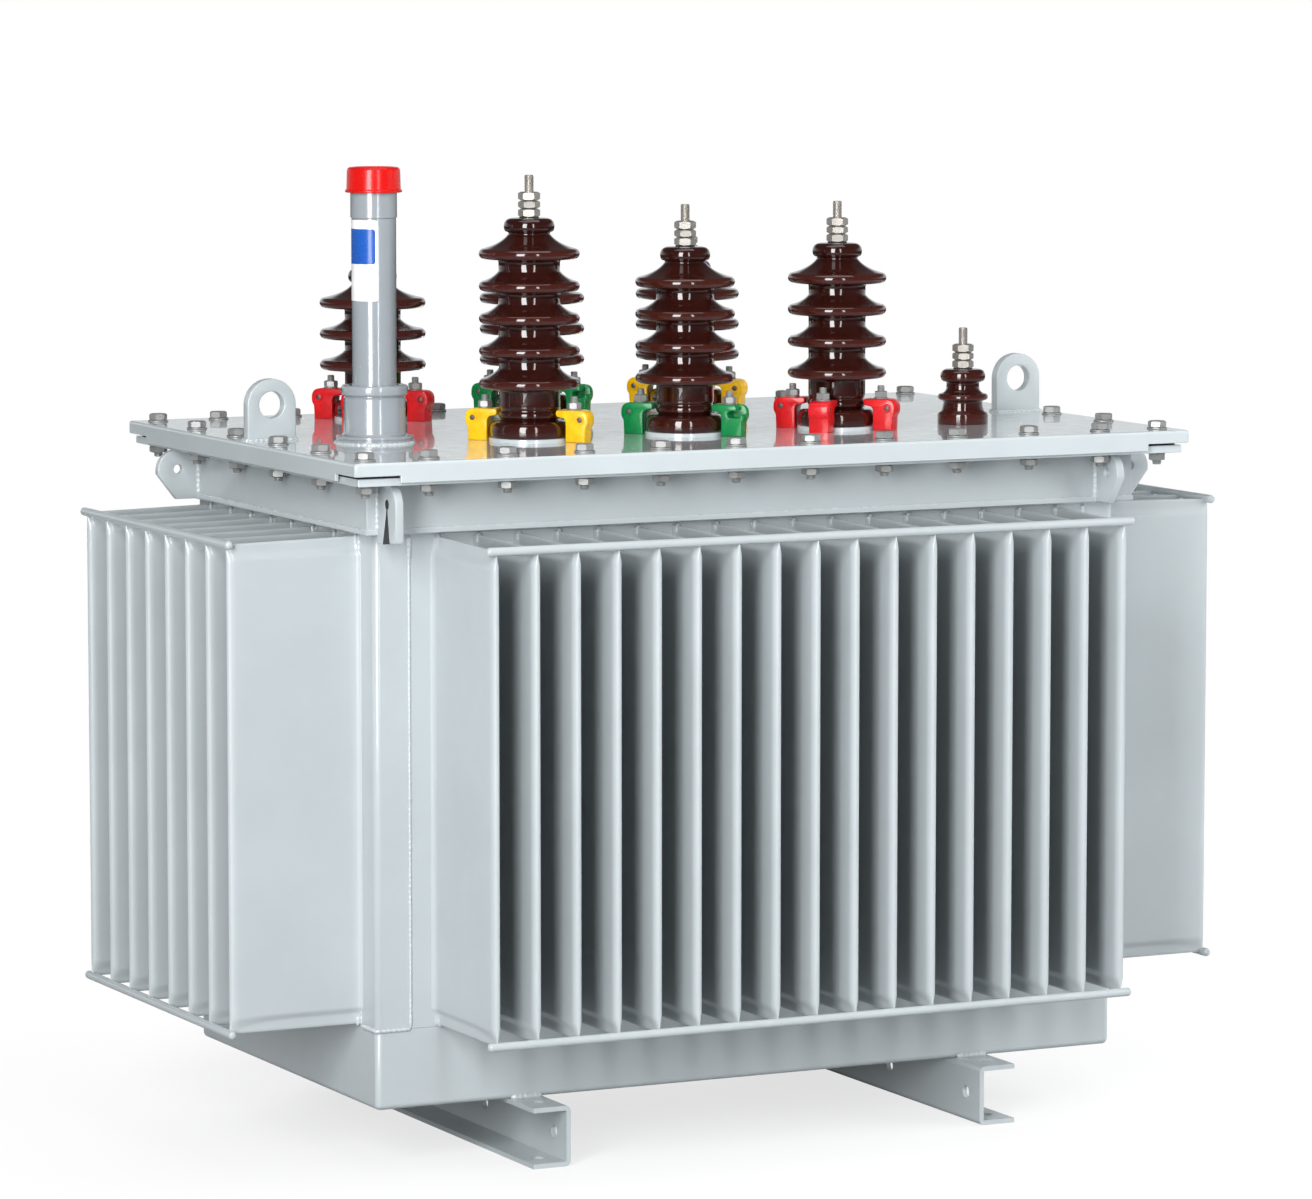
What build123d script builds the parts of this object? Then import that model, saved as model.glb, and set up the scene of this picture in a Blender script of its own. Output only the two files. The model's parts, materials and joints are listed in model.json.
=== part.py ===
from build123d import *
import os

# A distribution transformer: a finned steel tank on two channel skids, closed by a bolted lid
# that carries the bushings, the filler pipe and the lifting eyes.
# Millimetres, +Z up. The origin lies on the floor under the middle of the tank.
# +X runs along the long side, and the front, with the row of four bushings, faces -Y.

# Skids: channels with their webs towards the middle
SKID_HEIGHT = 63.0
SKID_FLANGE = 42.0
SKID_WALL = 5.0
SKID_BEND_R = 6.0
SKID_LENGTH = 588.0
SKID_WEB_GAP = 478.0
SKID_HOLE = 14.0
SKID_HOLE_END = 30.0
SKID_HAUL_END = 200.0

# Tank: a pan at the bottom, four corner angles and four thin walls between them
TANK_LENGTH = 860.0
TANK_DEPTH = 474.0
PAN_HEIGHT = 82.0
PAN_PLATE = 5.0
PAN_BEND_R = 6.0
POST_LEG = 38.0
POST_PLATE = 5.0
POST_RIDGE_R = 7.0
WALL_HEIGHT = 507.0
WALL_PLATE = 3.0

# Cooling fins: flat pockets pinched to a thin edge at both ends, tied by rods along their tips.
# FIN_END is the distance from a wall's end to the middle of its last fin.
FIN_DEPTH = 143.0
FIN_THICK = 10.0
FIN_EDGE = 3.0
FIN_PINCH = 22.0
FIN_TIP_R = 4.0
FIN_ABOVE_PAN = 2.0
FIN_BELOW_NECK = 8.0
LONG_FIN_COUNT = 17
LONG_FIN_END = 32.0
SHORT_FIN_COUNT = 8
SHORT_FIN_END = 4.75
ROD_D = 9.0
ROD_PAST_FIN = 6.0
ROD_FIT = 0.3

# Neck, flange, gasket and lid; the flange stands out past the neck at its ends and its long sides
NECK_OVERHANG = 14.0
NECK_HEIGHT = 54.0
NECK_PLATE = 5.0
FLANGE_END_REACH = 31.0
FLANGE_SIDE_REACH = 51.0
FLANGE_PLATE = 8.0
GASKET_THICK = 8.0
GASKET_INSET = 5.0
LID_PLATE = 8.0
LID_SKIRT = 21.0
LID_SKIRT_PLATE = 4.0
LID_CLEAR = 2.0
LID_EDGE_R = 3.0
LID_NOTCH = 50.0
LID_NOTCH_RISE = 7.5

# Lifting eyes on the lid, in from its ends
EYE_END = 37.0
EYE_WIDTH = 54.0
EYE_PLATE = 13.0
EYE_HOLE = 28.0
EYE_HOLE_RISE = 37.0

# Tie lugs on the neck, in from its corners
LUG_REACH = 46.0
LUG_HEIGHT = 53.0
LUG_PLATE = 9.0
LUG_FOOT = 25.0
LUG_SLOPE_RISE = 27.0
LUG_TOP_R = 22.0
LUG_HOLE = 10.0
LUG_HOLE_OUT = 23.0
LUG_HOLE_DROP = 21.0
LUG_NEAR_END = 16.0
LUG_FAR_END = 40.0
LUG_SIDE_END = 47.0

# Filler pipe, in from the lid's left end and front edge
FILLER_END = 123.0
FILLER_IN = 233.0
FILLER_FLANGE_D = 80.0
FILLER_FLANGE_H = 8.0
FILLER_SOCKET_D = 64.0
FILLER_SOCKET_H = 41.0
FILLER_COLLAR_D = 69.0
FILLER_COLLAR_H = 11.0
FILLER_PIPE_D = 46.0
FILLER_PIPE_H = 172.0
FILLER_SLEEVE_D = 48.0
FILLER_SLEEVE_H = 26.0
CAP_D = 55.0
CAP_LIP_D = 59.0
CAP_LIP_H = 8.0
CAP_H = 26.0
CAP_RECESS_D = 42.0
CAP_RECESS = 3.0

# Bushing rows on the lid: each row's middle along X, and its distance in from the nearer long edge
FRONT_PITCH = 180.0
FRONT_ROW_X = -25.0
FRONT_ROW_IN = 183.0
BACK_PITCH = 190.0
BACK_ROW_X = -48.0
BACK_ROW_IN = 103.0
NEUTRAL_END = 173.0
FRONT_LEFT_SHED_COUNT = 5
FRONT_SHED_COUNT = 4
BACK_SHED_COUNT = 3
FRONT_SHED_D = 102.0
BACK_SHED_D = 112.0

# Porcelain shared by the six large bushings, heights from its seat on the ring
RING_D = 84.0
RING_H = 6.0
FOOT_D = 78.0
FOOT_H = 16.0
FOOT_R = 4.0
BEAD_D = 67.0
BEAD_H = 9.0
CORE_D = 61.0
FIRST_SHED = 54.0
SHED_PITCH = 33.5
SHED_RIM_R = 5.0
SHED_SLOPE = 14.0
TOP_NECK_D = 40.0
TOP_CONE = 21.0
TOP_BEAD_D = 50.0
TOP_BEAD_H = 16.0

# Porcelain of the small neutral bushing, heights from the lid
SMALL_FOOT_D = 56.0
SMALL_FOOT_H = 12.0
SMALL_WAIST_D = 42.0
SMALL_SHED_D = 54.0
SMALL_SHED_RISE = 29.0
SMALL_SHED_R = 3.5
SMALL_NECK_D = 35.0
SMALL_BEAD_D = 48.0
SMALL_BEAD_H = 14.0
SMALL_H = 59.0

# Terminal studs with three nuts each
STUD_D = 10.0
STUD_PAST_NUTS = 17.0
NUT_FLATS = 18.0
NUT_H = 10.0
NUT_MIDDLE_H = 7.0
NUT_MIDDLE_TURN = 17.0

# Clamps that hold the large bushings down, sizes along their own radius
CLAMP_HEIGHT = 33.0
CLAMP_ARM_THICK = 8.0
CLAMP_WIDTH = 22.0
CLAMP_LEG = 22.0
CLAMP_RING_CLEAR = 3.0
CLAMP_BEAD_CLEAR = 1.5
CLAMP_CHAMFER = 6.0
CLAMP_STUD_IN = 4.0
CLAMP_STUD_D = 8.0
CLAMP_STUD_H = 14.0
CLAMP_NUT_FLATS = 13.0
CLAMP_NUT_H = 7.0
CLAMP_ANGLES = (-45, 45, 135, -135)
OPEN_CLAMP_ANGLES = (-45, 45, 135)

# Levels and outlines that follow from the sizes above
PAN_TOP = SKID_HEIGHT + PAN_HEIGHT
WALL_TOP = PAN_TOP + WALL_HEIGHT
NECK_TOP = WALL_TOP + NECK_HEIGHT
FLANGE_TOP = NECK_TOP + FLANGE_PLATE
GASKET_TOP = FLANGE_TOP + GASKET_THICK
LID_TOP = GASKET_TOP + LID_PLATE
FIN_BOTTOM = PAN_TOP + FIN_ABOVE_PAN
FIN_TOP = WALL_TOP - FIN_BELOW_NECK
NECK_LENGTH = TANK_LENGTH + 2 * NECK_OVERHANG
NECK_DEPTH = TANK_DEPTH + 2 * NECK_OVERHANG
FLANGE_LENGTH = NECK_LENGTH + 2 * FLANGE_END_REACH
FLANGE_DEPTH = NECK_DEPTH + 2 * FLANGE_SIDE_REACH
LID_LENGTH = FLANGE_LENGTH + 2 * (LID_SKIRT_PLATE + LID_CLEAR)
LID_DEPTH = FLANGE_DEPTH + 2 * (LID_SKIRT_PLATE + LID_CLEAR)
LONG_PITCH = (TANK_LENGTH - 2 * (POST_LEG + LONG_FIN_END)) / (LONG_FIN_COUNT - 1)
SHORT_PITCH = (TANK_DEPTH - 2 * (POST_LEG + SHORT_FIN_END)) / (SHORT_FIN_COUNT - 1)
EYE_X = LID_LENGTH / 2 - EYE_END
LUG_NEAR_X = NECK_LENGTH / 2 - LUG_NEAR_END
LUG_FAR_X = NECK_LENGTH / 2 - LUG_FAR_END
LUG_SIDE_Y = NECK_DEPTH / 2 - LUG_SIDE_END
FILLER_X = FILLER_END - LID_LENGTH / 2
FILLER_Y = FILLER_IN - LID_DEPTH / 2
FRONT_ROW_Y = FRONT_ROW_IN - LID_DEPTH / 2
BACK_ROW_Y = LID_DEPTH / 2 - BACK_ROW_IN
NEUTRAL_X = LID_LENGTH / 2 - NEUTRAL_END
SEAT = LID_TOP + RING_H
CLAMP_IN = RING_D / 2 + CLAMP_RING_CLEAR
CLAMP_OUT = CLAMP_IN + CLAMP_LEG

# Each side of the tank: the turn that brings the front there, and the wall's distance out
SIDES = {
    "front": (0, TANK_DEPTH / 2),
    "right": (90, TANK_LENGTH / 2),
    "back": (180, TANK_DEPTH / 2),
    "left": (-90, TANK_LENGTH / 2),
}
SIDE_FINS = {
    "front": (LONG_FIN_COUNT, LONG_PITCH),
    "right": (SHORT_FIN_COUNT, SHORT_PITCH),
    "back": (LONG_FIN_COUNT, LONG_PITCH),
    "left": (SHORT_FIN_COUNT, SHORT_PITCH),
}

# Kinds of large bushing: number of sheds and shed diameter
TALL_KIND = (FRONT_LEFT_SHED_COUNT, FRONT_SHED_D)
FRONT_KIND = (FRONT_SHED_COUNT, FRONT_SHED_D)
BACK_KIND = (BACK_SHED_COUNT, BACK_SHED_D)

# Large bushings: place, kind, clamp colour and clamp angles
BUSHINGS = {
    "front_left": (FRONT_ROW_X - FRONT_PITCH, FRONT_ROW_Y, *TALL_KIND, "yellow", OPEN_CLAMP_ANGLES),
    "front_middle": (FRONT_ROW_X, FRONT_ROW_Y, *FRONT_KIND, "green", OPEN_CLAMP_ANGLES),
    "front_right": (FRONT_ROW_X + FRONT_PITCH, FRONT_ROW_Y, *FRONT_KIND, "red", CLAMP_ANGLES),
    "back_left": (BACK_ROW_X - BACK_PITCH, BACK_ROW_Y, *BACK_KIND, "red", CLAMP_ANGLES),
    "back_middle": (BACK_ROW_X, BACK_ROW_Y, *BACK_KIND, "green", CLAMP_ANGLES),
    "back_right": (BACK_ROW_X + BACK_PITCH, BACK_ROW_Y, *BACK_KIND, "yellow", CLAMP_ANGLES),
}


class Outline:
    """A closed outline in radius and height, drawn point by point and turned about Z."""

    def __init__(self, r, z):
        self.start = (r, z)
        self.at = (r, z)
        self.edges = []

    def line(self, r, z):
        self.edges.append(Line(self.at, (r, z)))
        self.at = (r, z)

    def arc(self, mid, end):
        self.edges.append(ThreePointArc(self.at, mid, end))
        self.at = end

    def turned(self):
        self.line(*self.start)
        return revolve(Plane.XZ * make_face(Curve() + self.edges), Axis.Z)


def block(x, y, z):
    """A box between pairs of limits along each axis."""
    size = (x[1] - x[0], y[1] - y[0], z[1] - z[0])
    middle = ((x[0] + x[1]) / 2, (y[0] + y[1]) / 2, (z[0] + z[1]) / 2)
    return Pos(*middle) * Box(*size)


def slab(length, depth, low, high):
    """A level plate centred on the origin."""
    return block((-length / 2, length / 2), (-depth / 2, depth / 2), (low, high))


def on_side(side, shape):
    """Move a shape drawn on the front wall's plane, facing -Y, to a side of the tank."""
    turn, out = SIDES[side]
    return Rot(0, 0, turn) * Pos(0, -out, 0) * shape


def disc(diameter, low, high):
    """A round piece on the Z axis."""
    return Pos(0, 0, low) * Cylinder(diameter / 2, high - low, align=(Align.CENTER, Align.CENTER, Align.MIN))


def hexagon(flats, low, high, turn=0):
    """A nut's outside on the Z axis."""
    sketch = RegularPolygon(flats / 2, 6, major_radius=False, rotation=turn)
    return Pos(0, 0, low) * extrude(sketch, high - low)


def save(name, solids):
    """Write a node; several solids share it as a group."""
    shape = solids[0] if len(solids) == 1 else Compound(children=solids)
    export_step(shape, f"parts/{name}.step")


def left_skid():
    """A folded channel whose web faces the middle, with holes in both flanges and the web."""
    web = -SKID_WEB_GAP / 2
    half = SKID_LENGTH / 2
    skid = block((web - SKID_FLANGE, web), (-half, half), (0, SKID_HEIGHT))
    skid = fillet(skid.edges().filter_by(Axis.Y).group_by(Axis.X)[-1], SKID_BEND_R)
    hollow = (SKID_WALL, SKID_HEIGHT - SKID_WALL)
    skid -= block((web - SKID_FLANGE, web - SKID_WALL), (-half, half), hollow)
    flange_x = web - (SKID_WALL + SKID_FLANGE) / 2
    cross_drill = Rot(0, 90, 0) * Cylinder(SKID_HOLE / 2, 4 * SKID_WALL)
    for end in (-1, 1):
        skid -= Pos(flange_x, end * (half - SKID_HOLE_END), 0) * disc(SKID_HOLE, 0, SKID_HEIGHT)
        for inset in (SKID_HOLE_END, SKID_HAUL_END):
            skid -= Pos(web, end * (half - inset), SKID_HEIGHT / 2) * cross_drill
    return skid


def tank_base():
    """The open pan under the walls, rounded below and at its corners."""
    pan = slab(TANK_LENGTH, TANK_DEPTH, SKID_HEIGHT, PAN_TOP)
    pan = fillet(pan.edges().filter_by(Axis.Z) + pan.edges().group_by(Axis.Z)[0], PAN_BEND_R)
    inside = slab(TANK_LENGTH - 2 * PAN_PLATE, TANK_DEPTH - 2 * PAN_PLATE, SKID_HEIGHT + PAN_PLATE, PAN_TOP)
    return pan - inside


def corner_posts():
    """Four angles standing on the pan's corners."""
    posts = []
    for x in (-1, 1):
        for y in (-1, 1):
            leg = Box(POST_LEG, POST_LEG, WALL_HEIGHT)
            hollow = Pos(-POST_PLATE, -POST_PLATE, 0) * Box(POST_LEG, POST_LEG, WALL_HEIGHT)
            angle = leg - hollow
            ridge = angle.edges().filter_by(Axis.Z).sort_by(Axis((0, 0, 0), (1, 1, 0)))[-1]
            angle = fillet(ridge, POST_RIDGE_R)
            turn = {(1, 1): 0, (-1, 1): 90, (-1, -1): 180, (1, -1): 270}[(x, y)]
            middle_x = x * (TANK_LENGTH - POST_LEG) / 2
            middle_y = y * (TANK_DEPTH - POST_LEG) / 2
            posts.append(Pos(middle_x, middle_y, PAN_TOP + WALL_HEIGHT / 2) * Rot(0, 0, turn) * angle)
    return posts


def wall(side):
    """A thin wall between two corner angles, flush with them."""
    span = TANK_LENGTH if side in ("front", "back") else TANK_DEPTH
    half = span / 2 - POST_LEG
    return on_side(side, block((-half, half), (0, WALL_PLATE), (PAN_TOP, WALL_TOP)))


def fin():
    """One pocket at the origin: hexagonal from the tip, round-nosed from above, notched for the rods."""
    half = FIN_THICK / 2
    edge = FIN_EDGE / 2
    low = FIN_BOTTOM + FIN_PINCH
    high = FIN_TOP - FIN_PINCH
    front = Polygon(
        (-edge, FIN_BOTTOM), (edge, FIN_BOTTOM), (half, low), (half, high),
        (edge, FIN_TOP), (-edge, FIN_TOP), (-half, high), (-half, low),
        align=None,
    )
    plan = Pos(0, -FIN_DEPTH / 2) * Rectangle(FIN_THICK, FIN_DEPTH)
    plan = fillet(plan.vertices().group_by(Axis.Y)[0], FIN_TIP_R)
    column = Pos(0, 0, FIN_BOTTOM) * extrude(plan, FIN_TOP - FIN_BOTTOM)
    pocket = extrude(Plane.XZ * front, FIN_DEPTH) & column
    notch = Rot(0, 90, 0) * Cylinder(ROD_D / 2 + ROD_FIT, 2 * FIN_THICK)
    for level in (FIN_BOTTOM, FIN_TOP):
        pocket -= Pos(0, -FIN_DEPTH, level) * notch
    return pocket


def fin_row(side, pocket):
    """The pockets of one side, evenly spaced about its middle."""
    count, pitch = SIDE_FINS[side]
    places = [(i - (count - 1) / 2) * pitch for i in range(count)]
    return [on_side(side, Pos(x, 0, 0) * pocket) for x in places]


def fin_rods(side):
    """Two rods along the tips of one side's pockets, one at each end of them."""
    count, pitch = SIDE_FINS[side]
    length = (count - 1) * pitch + FIN_THICK + 2 * ROD_PAST_FIN
    bar = Cylinder(ROD_D / 2, length)
    bar = fillet(bar.edges().filter_by(GeomType.CIRCLE), ROD_D / 3)
    bar = Rot(0, 90, 0) * bar
    return [on_side(side, Pos(0, -FIN_DEPTH, level) * bar) for level in (FIN_BOTTOM, FIN_TOP)]


def top_frame():
    """The neck: a band standing proud of the walls, with a ledge that closes it onto them."""
    frame = slab(NECK_LENGTH, NECK_DEPTH, WALL_TOP, NECK_TOP)
    inside_length = NECK_LENGTH - 2 * NECK_PLATE
    inside_depth = NECK_DEPTH - 2 * NECK_PLATE
    frame -= slab(inside_length, inside_depth, WALL_TOP + NECK_PLATE, NECK_TOP)
    mouth_length = TANK_LENGTH - 2 * POST_PLATE
    mouth_depth = TANK_DEPTH - 2 * POST_PLATE
    return frame - slab(mouth_length, mouth_depth, WALL_TOP, WALL_TOP + NECK_PLATE)


def rim_plate(length, depth, low, high):
    """A level ring as wide inside as the neck."""
    inside = slab(NECK_LENGTH - 2 * NECK_PLATE, NECK_DEPTH - 2 * NECK_PLATE, low, high)
    return slab(length, depth, low, high) - inside


def lid():
    """A plate with a folded skirt, notched at the corners."""
    skirt_low = LID_TOP - LID_SKIRT
    cover = slab(LID_LENGTH, LID_DEPTH, skirt_low, LID_TOP)
    cover = fillet(cover.edges().filter_by(Axis.Z), LID_EDGE_R)
    cover = fillet(cover.edges().group_by(Axis.Z)[-1], LID_EDGE_R)
    inside_length = LID_LENGTH - 2 * LID_SKIRT_PLATE
    inside_depth = LID_DEPTH - 2 * LID_SKIRT_PLATE
    cover -= slab(inside_length, inside_depth, skirt_low, GASKET_TOP)
    for x in (-1, 1):
        for y in (-1, 1):
            middle = (x * LID_LENGTH / 2, y * LID_DEPTH / 2, skirt_low)
            cover -= Pos(*middle) * Box(2 * LID_NOTCH, 2 * LID_NOTCH, 2 * LID_NOTCH_RISE)
    return cover


def lifting_eye(x):
    """A round-topped plate with a hole, standing on the lid along X."""
    half = EYE_WIDTH / 2
    face = Pos(0, EYE_HOLE_RISE / 2) * Rectangle(EYE_WIDTH, EYE_HOLE_RISE)
    face += Pos(0, EYE_HOLE_RISE) * Circle(half)
    face -= Pos(0, EYE_HOLE_RISE) * Circle(EYE_HOLE / 2)
    plate = extrude(Plane.XZ * face, EYE_PLATE / 2, both=True)
    return Pos(x, 0, LID_TOP) * plate


def lug():
    """A holed plate that stands out along -Y from the plane y = 0, its top just under the flange."""
    low = NECK_TOP - LUG_HEIGHT
    face = Polygon(
        (0, low), (LUG_FOOT, low), (LUG_REACH, low + LUG_SLOPE_RISE), (LUG_REACH, NECK_TOP), (0, NECK_TOP),
        align=None,
    )
    face = fillet(face.vertices().sort_by(Axis((0, 0, 0), (1, 1, 0)))[-1], LUG_TOP_R)
    face -= Pos(LUG_HOLE_OUT, NECK_TOP - LUG_HOLE_DROP) * Circle(LUG_HOLE / 2)
    return Rot(0, 0, -90) * extrude(Plane.XZ * face, LUG_PLATE / 2, both=True)


def on_neck(side, x, plate):
    """Set a lug on a side of the neck, x along that side as seen from outside."""
    return on_side(side, Pos(x, -NECK_OVERHANG, 0) * plate)


def long_side_lugs(side, plate):
    """A plate near each end of a long side."""
    return [on_neck(side, x, plate) for x in (-LUG_NEAR_X, LUG_FAR_X)]


def filler_base():
    """Flange, socket and collar at the foot of the filler pipe, bored for the pipe."""
    socket_top = FILLER_FLANGE_H + FILLER_SOCKET_H
    base = disc(FILLER_FLANGE_D, 0, FILLER_FLANGE_H)
    base += disc(FILLER_SOCKET_D, FILLER_FLANGE_H, socket_top)
    base += disc(FILLER_COLLAR_D, socket_top, socket_top + FILLER_COLLAR_H)
    return Pos(FILLER_X, FILLER_Y, LID_TOP) * base


def filler_pipe():
    """The pipe and the sleeve that takes the cap."""
    pipe = disc(FILLER_PIPE_D, 0, FILLER_PIPE_H)
    pipe += disc(FILLER_SLEEVE_D, FILLER_PIPE_H, FILLER_PIPE_H + FILLER_SLEEVE_H)
    foot = LID_TOP + FILLER_FLANGE_H + FILLER_SOCKET_H + FILLER_COLLAR_H
    return Pos(FILLER_X, FILLER_Y, foot) * pipe


def filler_cap():
    """The screwed cap, with a wider lip below and a shallow recess on top."""
    cap = disc(CAP_LIP_D, 0, CAP_LIP_H) + disc(CAP_D, CAP_LIP_H, CAP_H)
    cap -= disc(CAP_RECESS_D, CAP_H - CAP_RECESS, CAP_H)
    foot = LID_TOP + FILLER_FLANGE_H + FILLER_SOCKET_H + FILLER_COLLAR_H + FILLER_PIPE_H + FILLER_SLEEVE_H
    return Pos(FILLER_X, FILLER_Y, foot) * cap


def porcelain_height(sheds):
    """Height of a large bushing's porcelain above its seat."""
    return FIRST_SHED + (sheds - 1) * SHED_PITCH + TOP_CONE + TOP_BEAD_H


def porcelain(sheds, shed_d):
    """A large bushing's porcelain: foot, bead, sheds on a core, cone and top bead."""
    core = CORE_D / 2
    rim = shed_d / 2 - SHED_RIM_R
    bead_middle = FOOT_H + BEAD_H / 2
    outline = Outline(0, 0)
    outline.line(FOOT_D / 2, 0)
    outline.line(FOOT_D / 2, FOOT_H - FOOT_R)
    outline.line(FOOT_D / 2 - FOOT_R, FOOT_H)
    outline.line(core, FOOT_H)
    outline.arc((BEAD_D / 2, bead_middle), (core, FOOT_H + BEAD_H))
    for i in range(sheds):
        level = FIRST_SHED + i * SHED_PITCH
        last = i == sheds - 1
        inner = TOP_NECK_D / 2 if last else core
        rise = TOP_CONE if last else SHED_SLOPE
        outline.line(core, level - SHED_RIM_R)
        outline.line(rim, level - SHED_RIM_R)
        outline.arc((rim + SHED_RIM_R, level), (rim, level + SHED_RIM_R))
        middle = ((2 * inner + rim) / 3, level + SHED_RIM_R + (rise - SHED_RIM_R) / 3)
        outline.arc(middle, (inner, level + rise))
    top = porcelain_height(sheds)
    bead = TOP_BEAD_D / 2 - TOP_BEAD_H / 2
    outline.line(bead, top - TOP_BEAD_H)
    outline.arc((TOP_BEAD_D / 2, top - TOP_BEAD_H / 2), (bead, top))
    outline.line(0, top)
    return outline.turned()


def neutral_porcelain():
    """The small bushing: foot, waist, one shed, neck and top bead."""
    shed = SMALL_SHED_D / 2 - SMALL_SHED_R
    bead = SMALL_BEAD_D / 2 - SMALL_BEAD_H / 2
    outline = Outline(0, 0)
    outline.line(SMALL_FOOT_D / 2, 0)
    outline.line(SMALL_FOOT_D / 2, SMALL_FOOT_H)
    outline.line(SMALL_WAIST_D / 2, SMALL_SHED_RISE - SMALL_SHED_R)
    outline.line(shed, SMALL_SHED_RISE - SMALL_SHED_R)
    outline.arc((shed + SMALL_SHED_R, SMALL_SHED_RISE), (shed, SMALL_SHED_RISE + SMALL_SHED_R))
    outline.line(SMALL_NECK_D / 2, SMALL_SHED_RISE + 2 * SMALL_SHED_R)
    outline.line(SMALL_NECK_D / 2, SMALL_H - SMALL_BEAD_H)
    outline.line(bead, SMALL_H - SMALL_BEAD_H)
    outline.arc((SMALL_BEAD_D / 2, SMALL_H - SMALL_BEAD_H / 2), (bead, SMALL_H))
    outline.line(0, SMALL_H)
    return outline.turned()


def terminal():
    """A stud with three nuts, standing on a bushing's top."""
    middle = NUT_H + NUT_MIDDLE_H
    nuts_top = middle + NUT_H
    stack = hexagon(NUT_FLATS, 0, NUT_H) + hexagon(NUT_FLATS, NUT_H, middle, NUT_MIDDLE_TURN)
    stack += hexagon(NUT_FLATS, middle, nuts_top)
    return stack + disc(STUD_D, nuts_top, nuts_top + STUD_PAST_NUTS)


def terminals(row):
    """The studs of one row's large bushings."""
    stud = terminal()
    places = [(x, y, sheds) for name, (x, y, sheds, *_) in BUSHINGS.items() if name.startswith(row)]
    return [Pos(x, y, SEAT + porcelain_height(sheds)) * stud for x, y, sheds in places]


def clamp():
    """A cast clamp along +X from a bushing's axis: a leg on the lid and an arm over the foot."""
    tip = BEAD_D / 2 + CLAMP_BEAD_CLEAR
    under = CLAMP_HEIGHT - CLAMP_ARM_THICK
    face = Polygon(
        (CLAMP_IN, 0), (CLAMP_OUT, 0), (CLAMP_OUT, CLAMP_HEIGHT - CLAMP_CHAMFER),
        (CLAMP_OUT - CLAMP_CHAMFER, CLAMP_HEIGHT), (tip, CLAMP_HEIGHT), (tip, under),
        (CLAMP_IN - CLAMP_RING_CLEAR, under), (CLAMP_IN, under - CLAMP_CHAMFER),
        align=None,
    )
    return extrude(Plane.XZ * face, CLAMP_WIDTH / 2, both=True)


def clamp_stud():
    """The nut and stud end on top of a clamp's leg."""
    return hexagon(CLAMP_NUT_FLATS, 0, CLAMP_NUT_H) + disc(CLAMP_STUD_D, CLAMP_NUT_H, CLAMP_STUD_H)


def clamp_places(colour=None):
    """Bushing place and angle of every clamp, or of those of one colour."""
    return [
        (x, y, angle)
        for x, y, _, _, bushing_colour, angles in BUSHINGS.values()
        for angle in angles
        if colour in (None, bushing_colour)
    ]


def build():
    """Make every node and write it."""
    os.makedirs("parts", exist_ok=True)
    skid = left_skid()
    save("left_skid", [skid])
    save("right_skid", [Rot(0, 0, 180) * skid])
    save("tank_base", [tank_base()])
    save("corner_posts", corner_posts())
    pocket = fin()
    for side in SIDES:
        save(f"{side}_wall", [wall(side)])
        save(f"{side}_fins", fin_row(side, pocket))
        save(f"{side}_fin_rods", fin_rods(side))
    save("top_frame", [top_frame()])
    save("top_flange", [rim_plate(FLANGE_LENGTH, FLANGE_DEPTH, NECK_TOP, FLANGE_TOP)])
    gasket_length = FLANGE_LENGTH - 2 * GASKET_INSET
    gasket_depth = FLANGE_DEPTH - 2 * GASKET_INSET
    save("lid_gasket", [rim_plate(gasket_length, gasket_depth, FLANGE_TOP, GASKET_TOP)])
    save("lid", [lid()])
    save("left_lifting_eye", [lifting_eye(-EYE_X)])
    save("right_lifting_eye", [lifting_eye(EYE_X)])
    plate = lug()
    save("front_tie_lugs", long_side_lugs("front", plate))
    save("back_tie_lugs", long_side_lugs("back", plate))
    save("left_tie_lug", [on_neck("left", -LUG_SIDE_Y, plate)])
    save("right_tie_lug", [on_neck("right", -LUG_SIDE_Y, plate)])
    save("filler_base", [filler_base()])
    save("filler_pipe", [filler_pipe()])
    save("filler_cap", [filler_cap()])
    for name, (x, y, sheds, shed_d, *_) in BUSHINGS.items():
        save(f"{name}_bushing", [Pos(x, y, SEAT) * porcelain(sheds, shed_d)])
    save("neutral_bushing", [Pos(NEUTRAL_X, FRONT_ROW_Y, LID_TOP) * neutral_porcelain()])
    save("front_terminals", terminals("front"))
    save("back_terminals", terminals("back"))
    save("neutral_terminal", [Pos(NEUTRAL_X, FRONT_ROW_Y, LID_TOP + SMALL_H) * terminal()])
    ring = disc(RING_D, LID_TOP, SEAT)
    save("bushing_rings", [Pos(x, y, 0) * ring for x, y, *_ in BUSHINGS.values()])
    body = clamp()
    for colour in ("yellow", "green", "red"):
        places = clamp_places(colour)
        save(f"{colour}_clamps", [Pos(x, y, LID_TOP) * Rot(0, 0, a) * body for x, y, a in places])
    stud = Pos(CLAMP_IN + CLAMP_STUD_IN, 0, LID_TOP + CLAMP_HEIGHT) * clamp_stud()
    save("clamp_studs", [Pos(x, y, 0) * Rot(0, 0, a) * stud for x, y, a in clamp_places()])


build()
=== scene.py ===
import json
import math
import random

import bmesh
import bpy
import numpy as np
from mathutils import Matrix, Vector, noise


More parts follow.
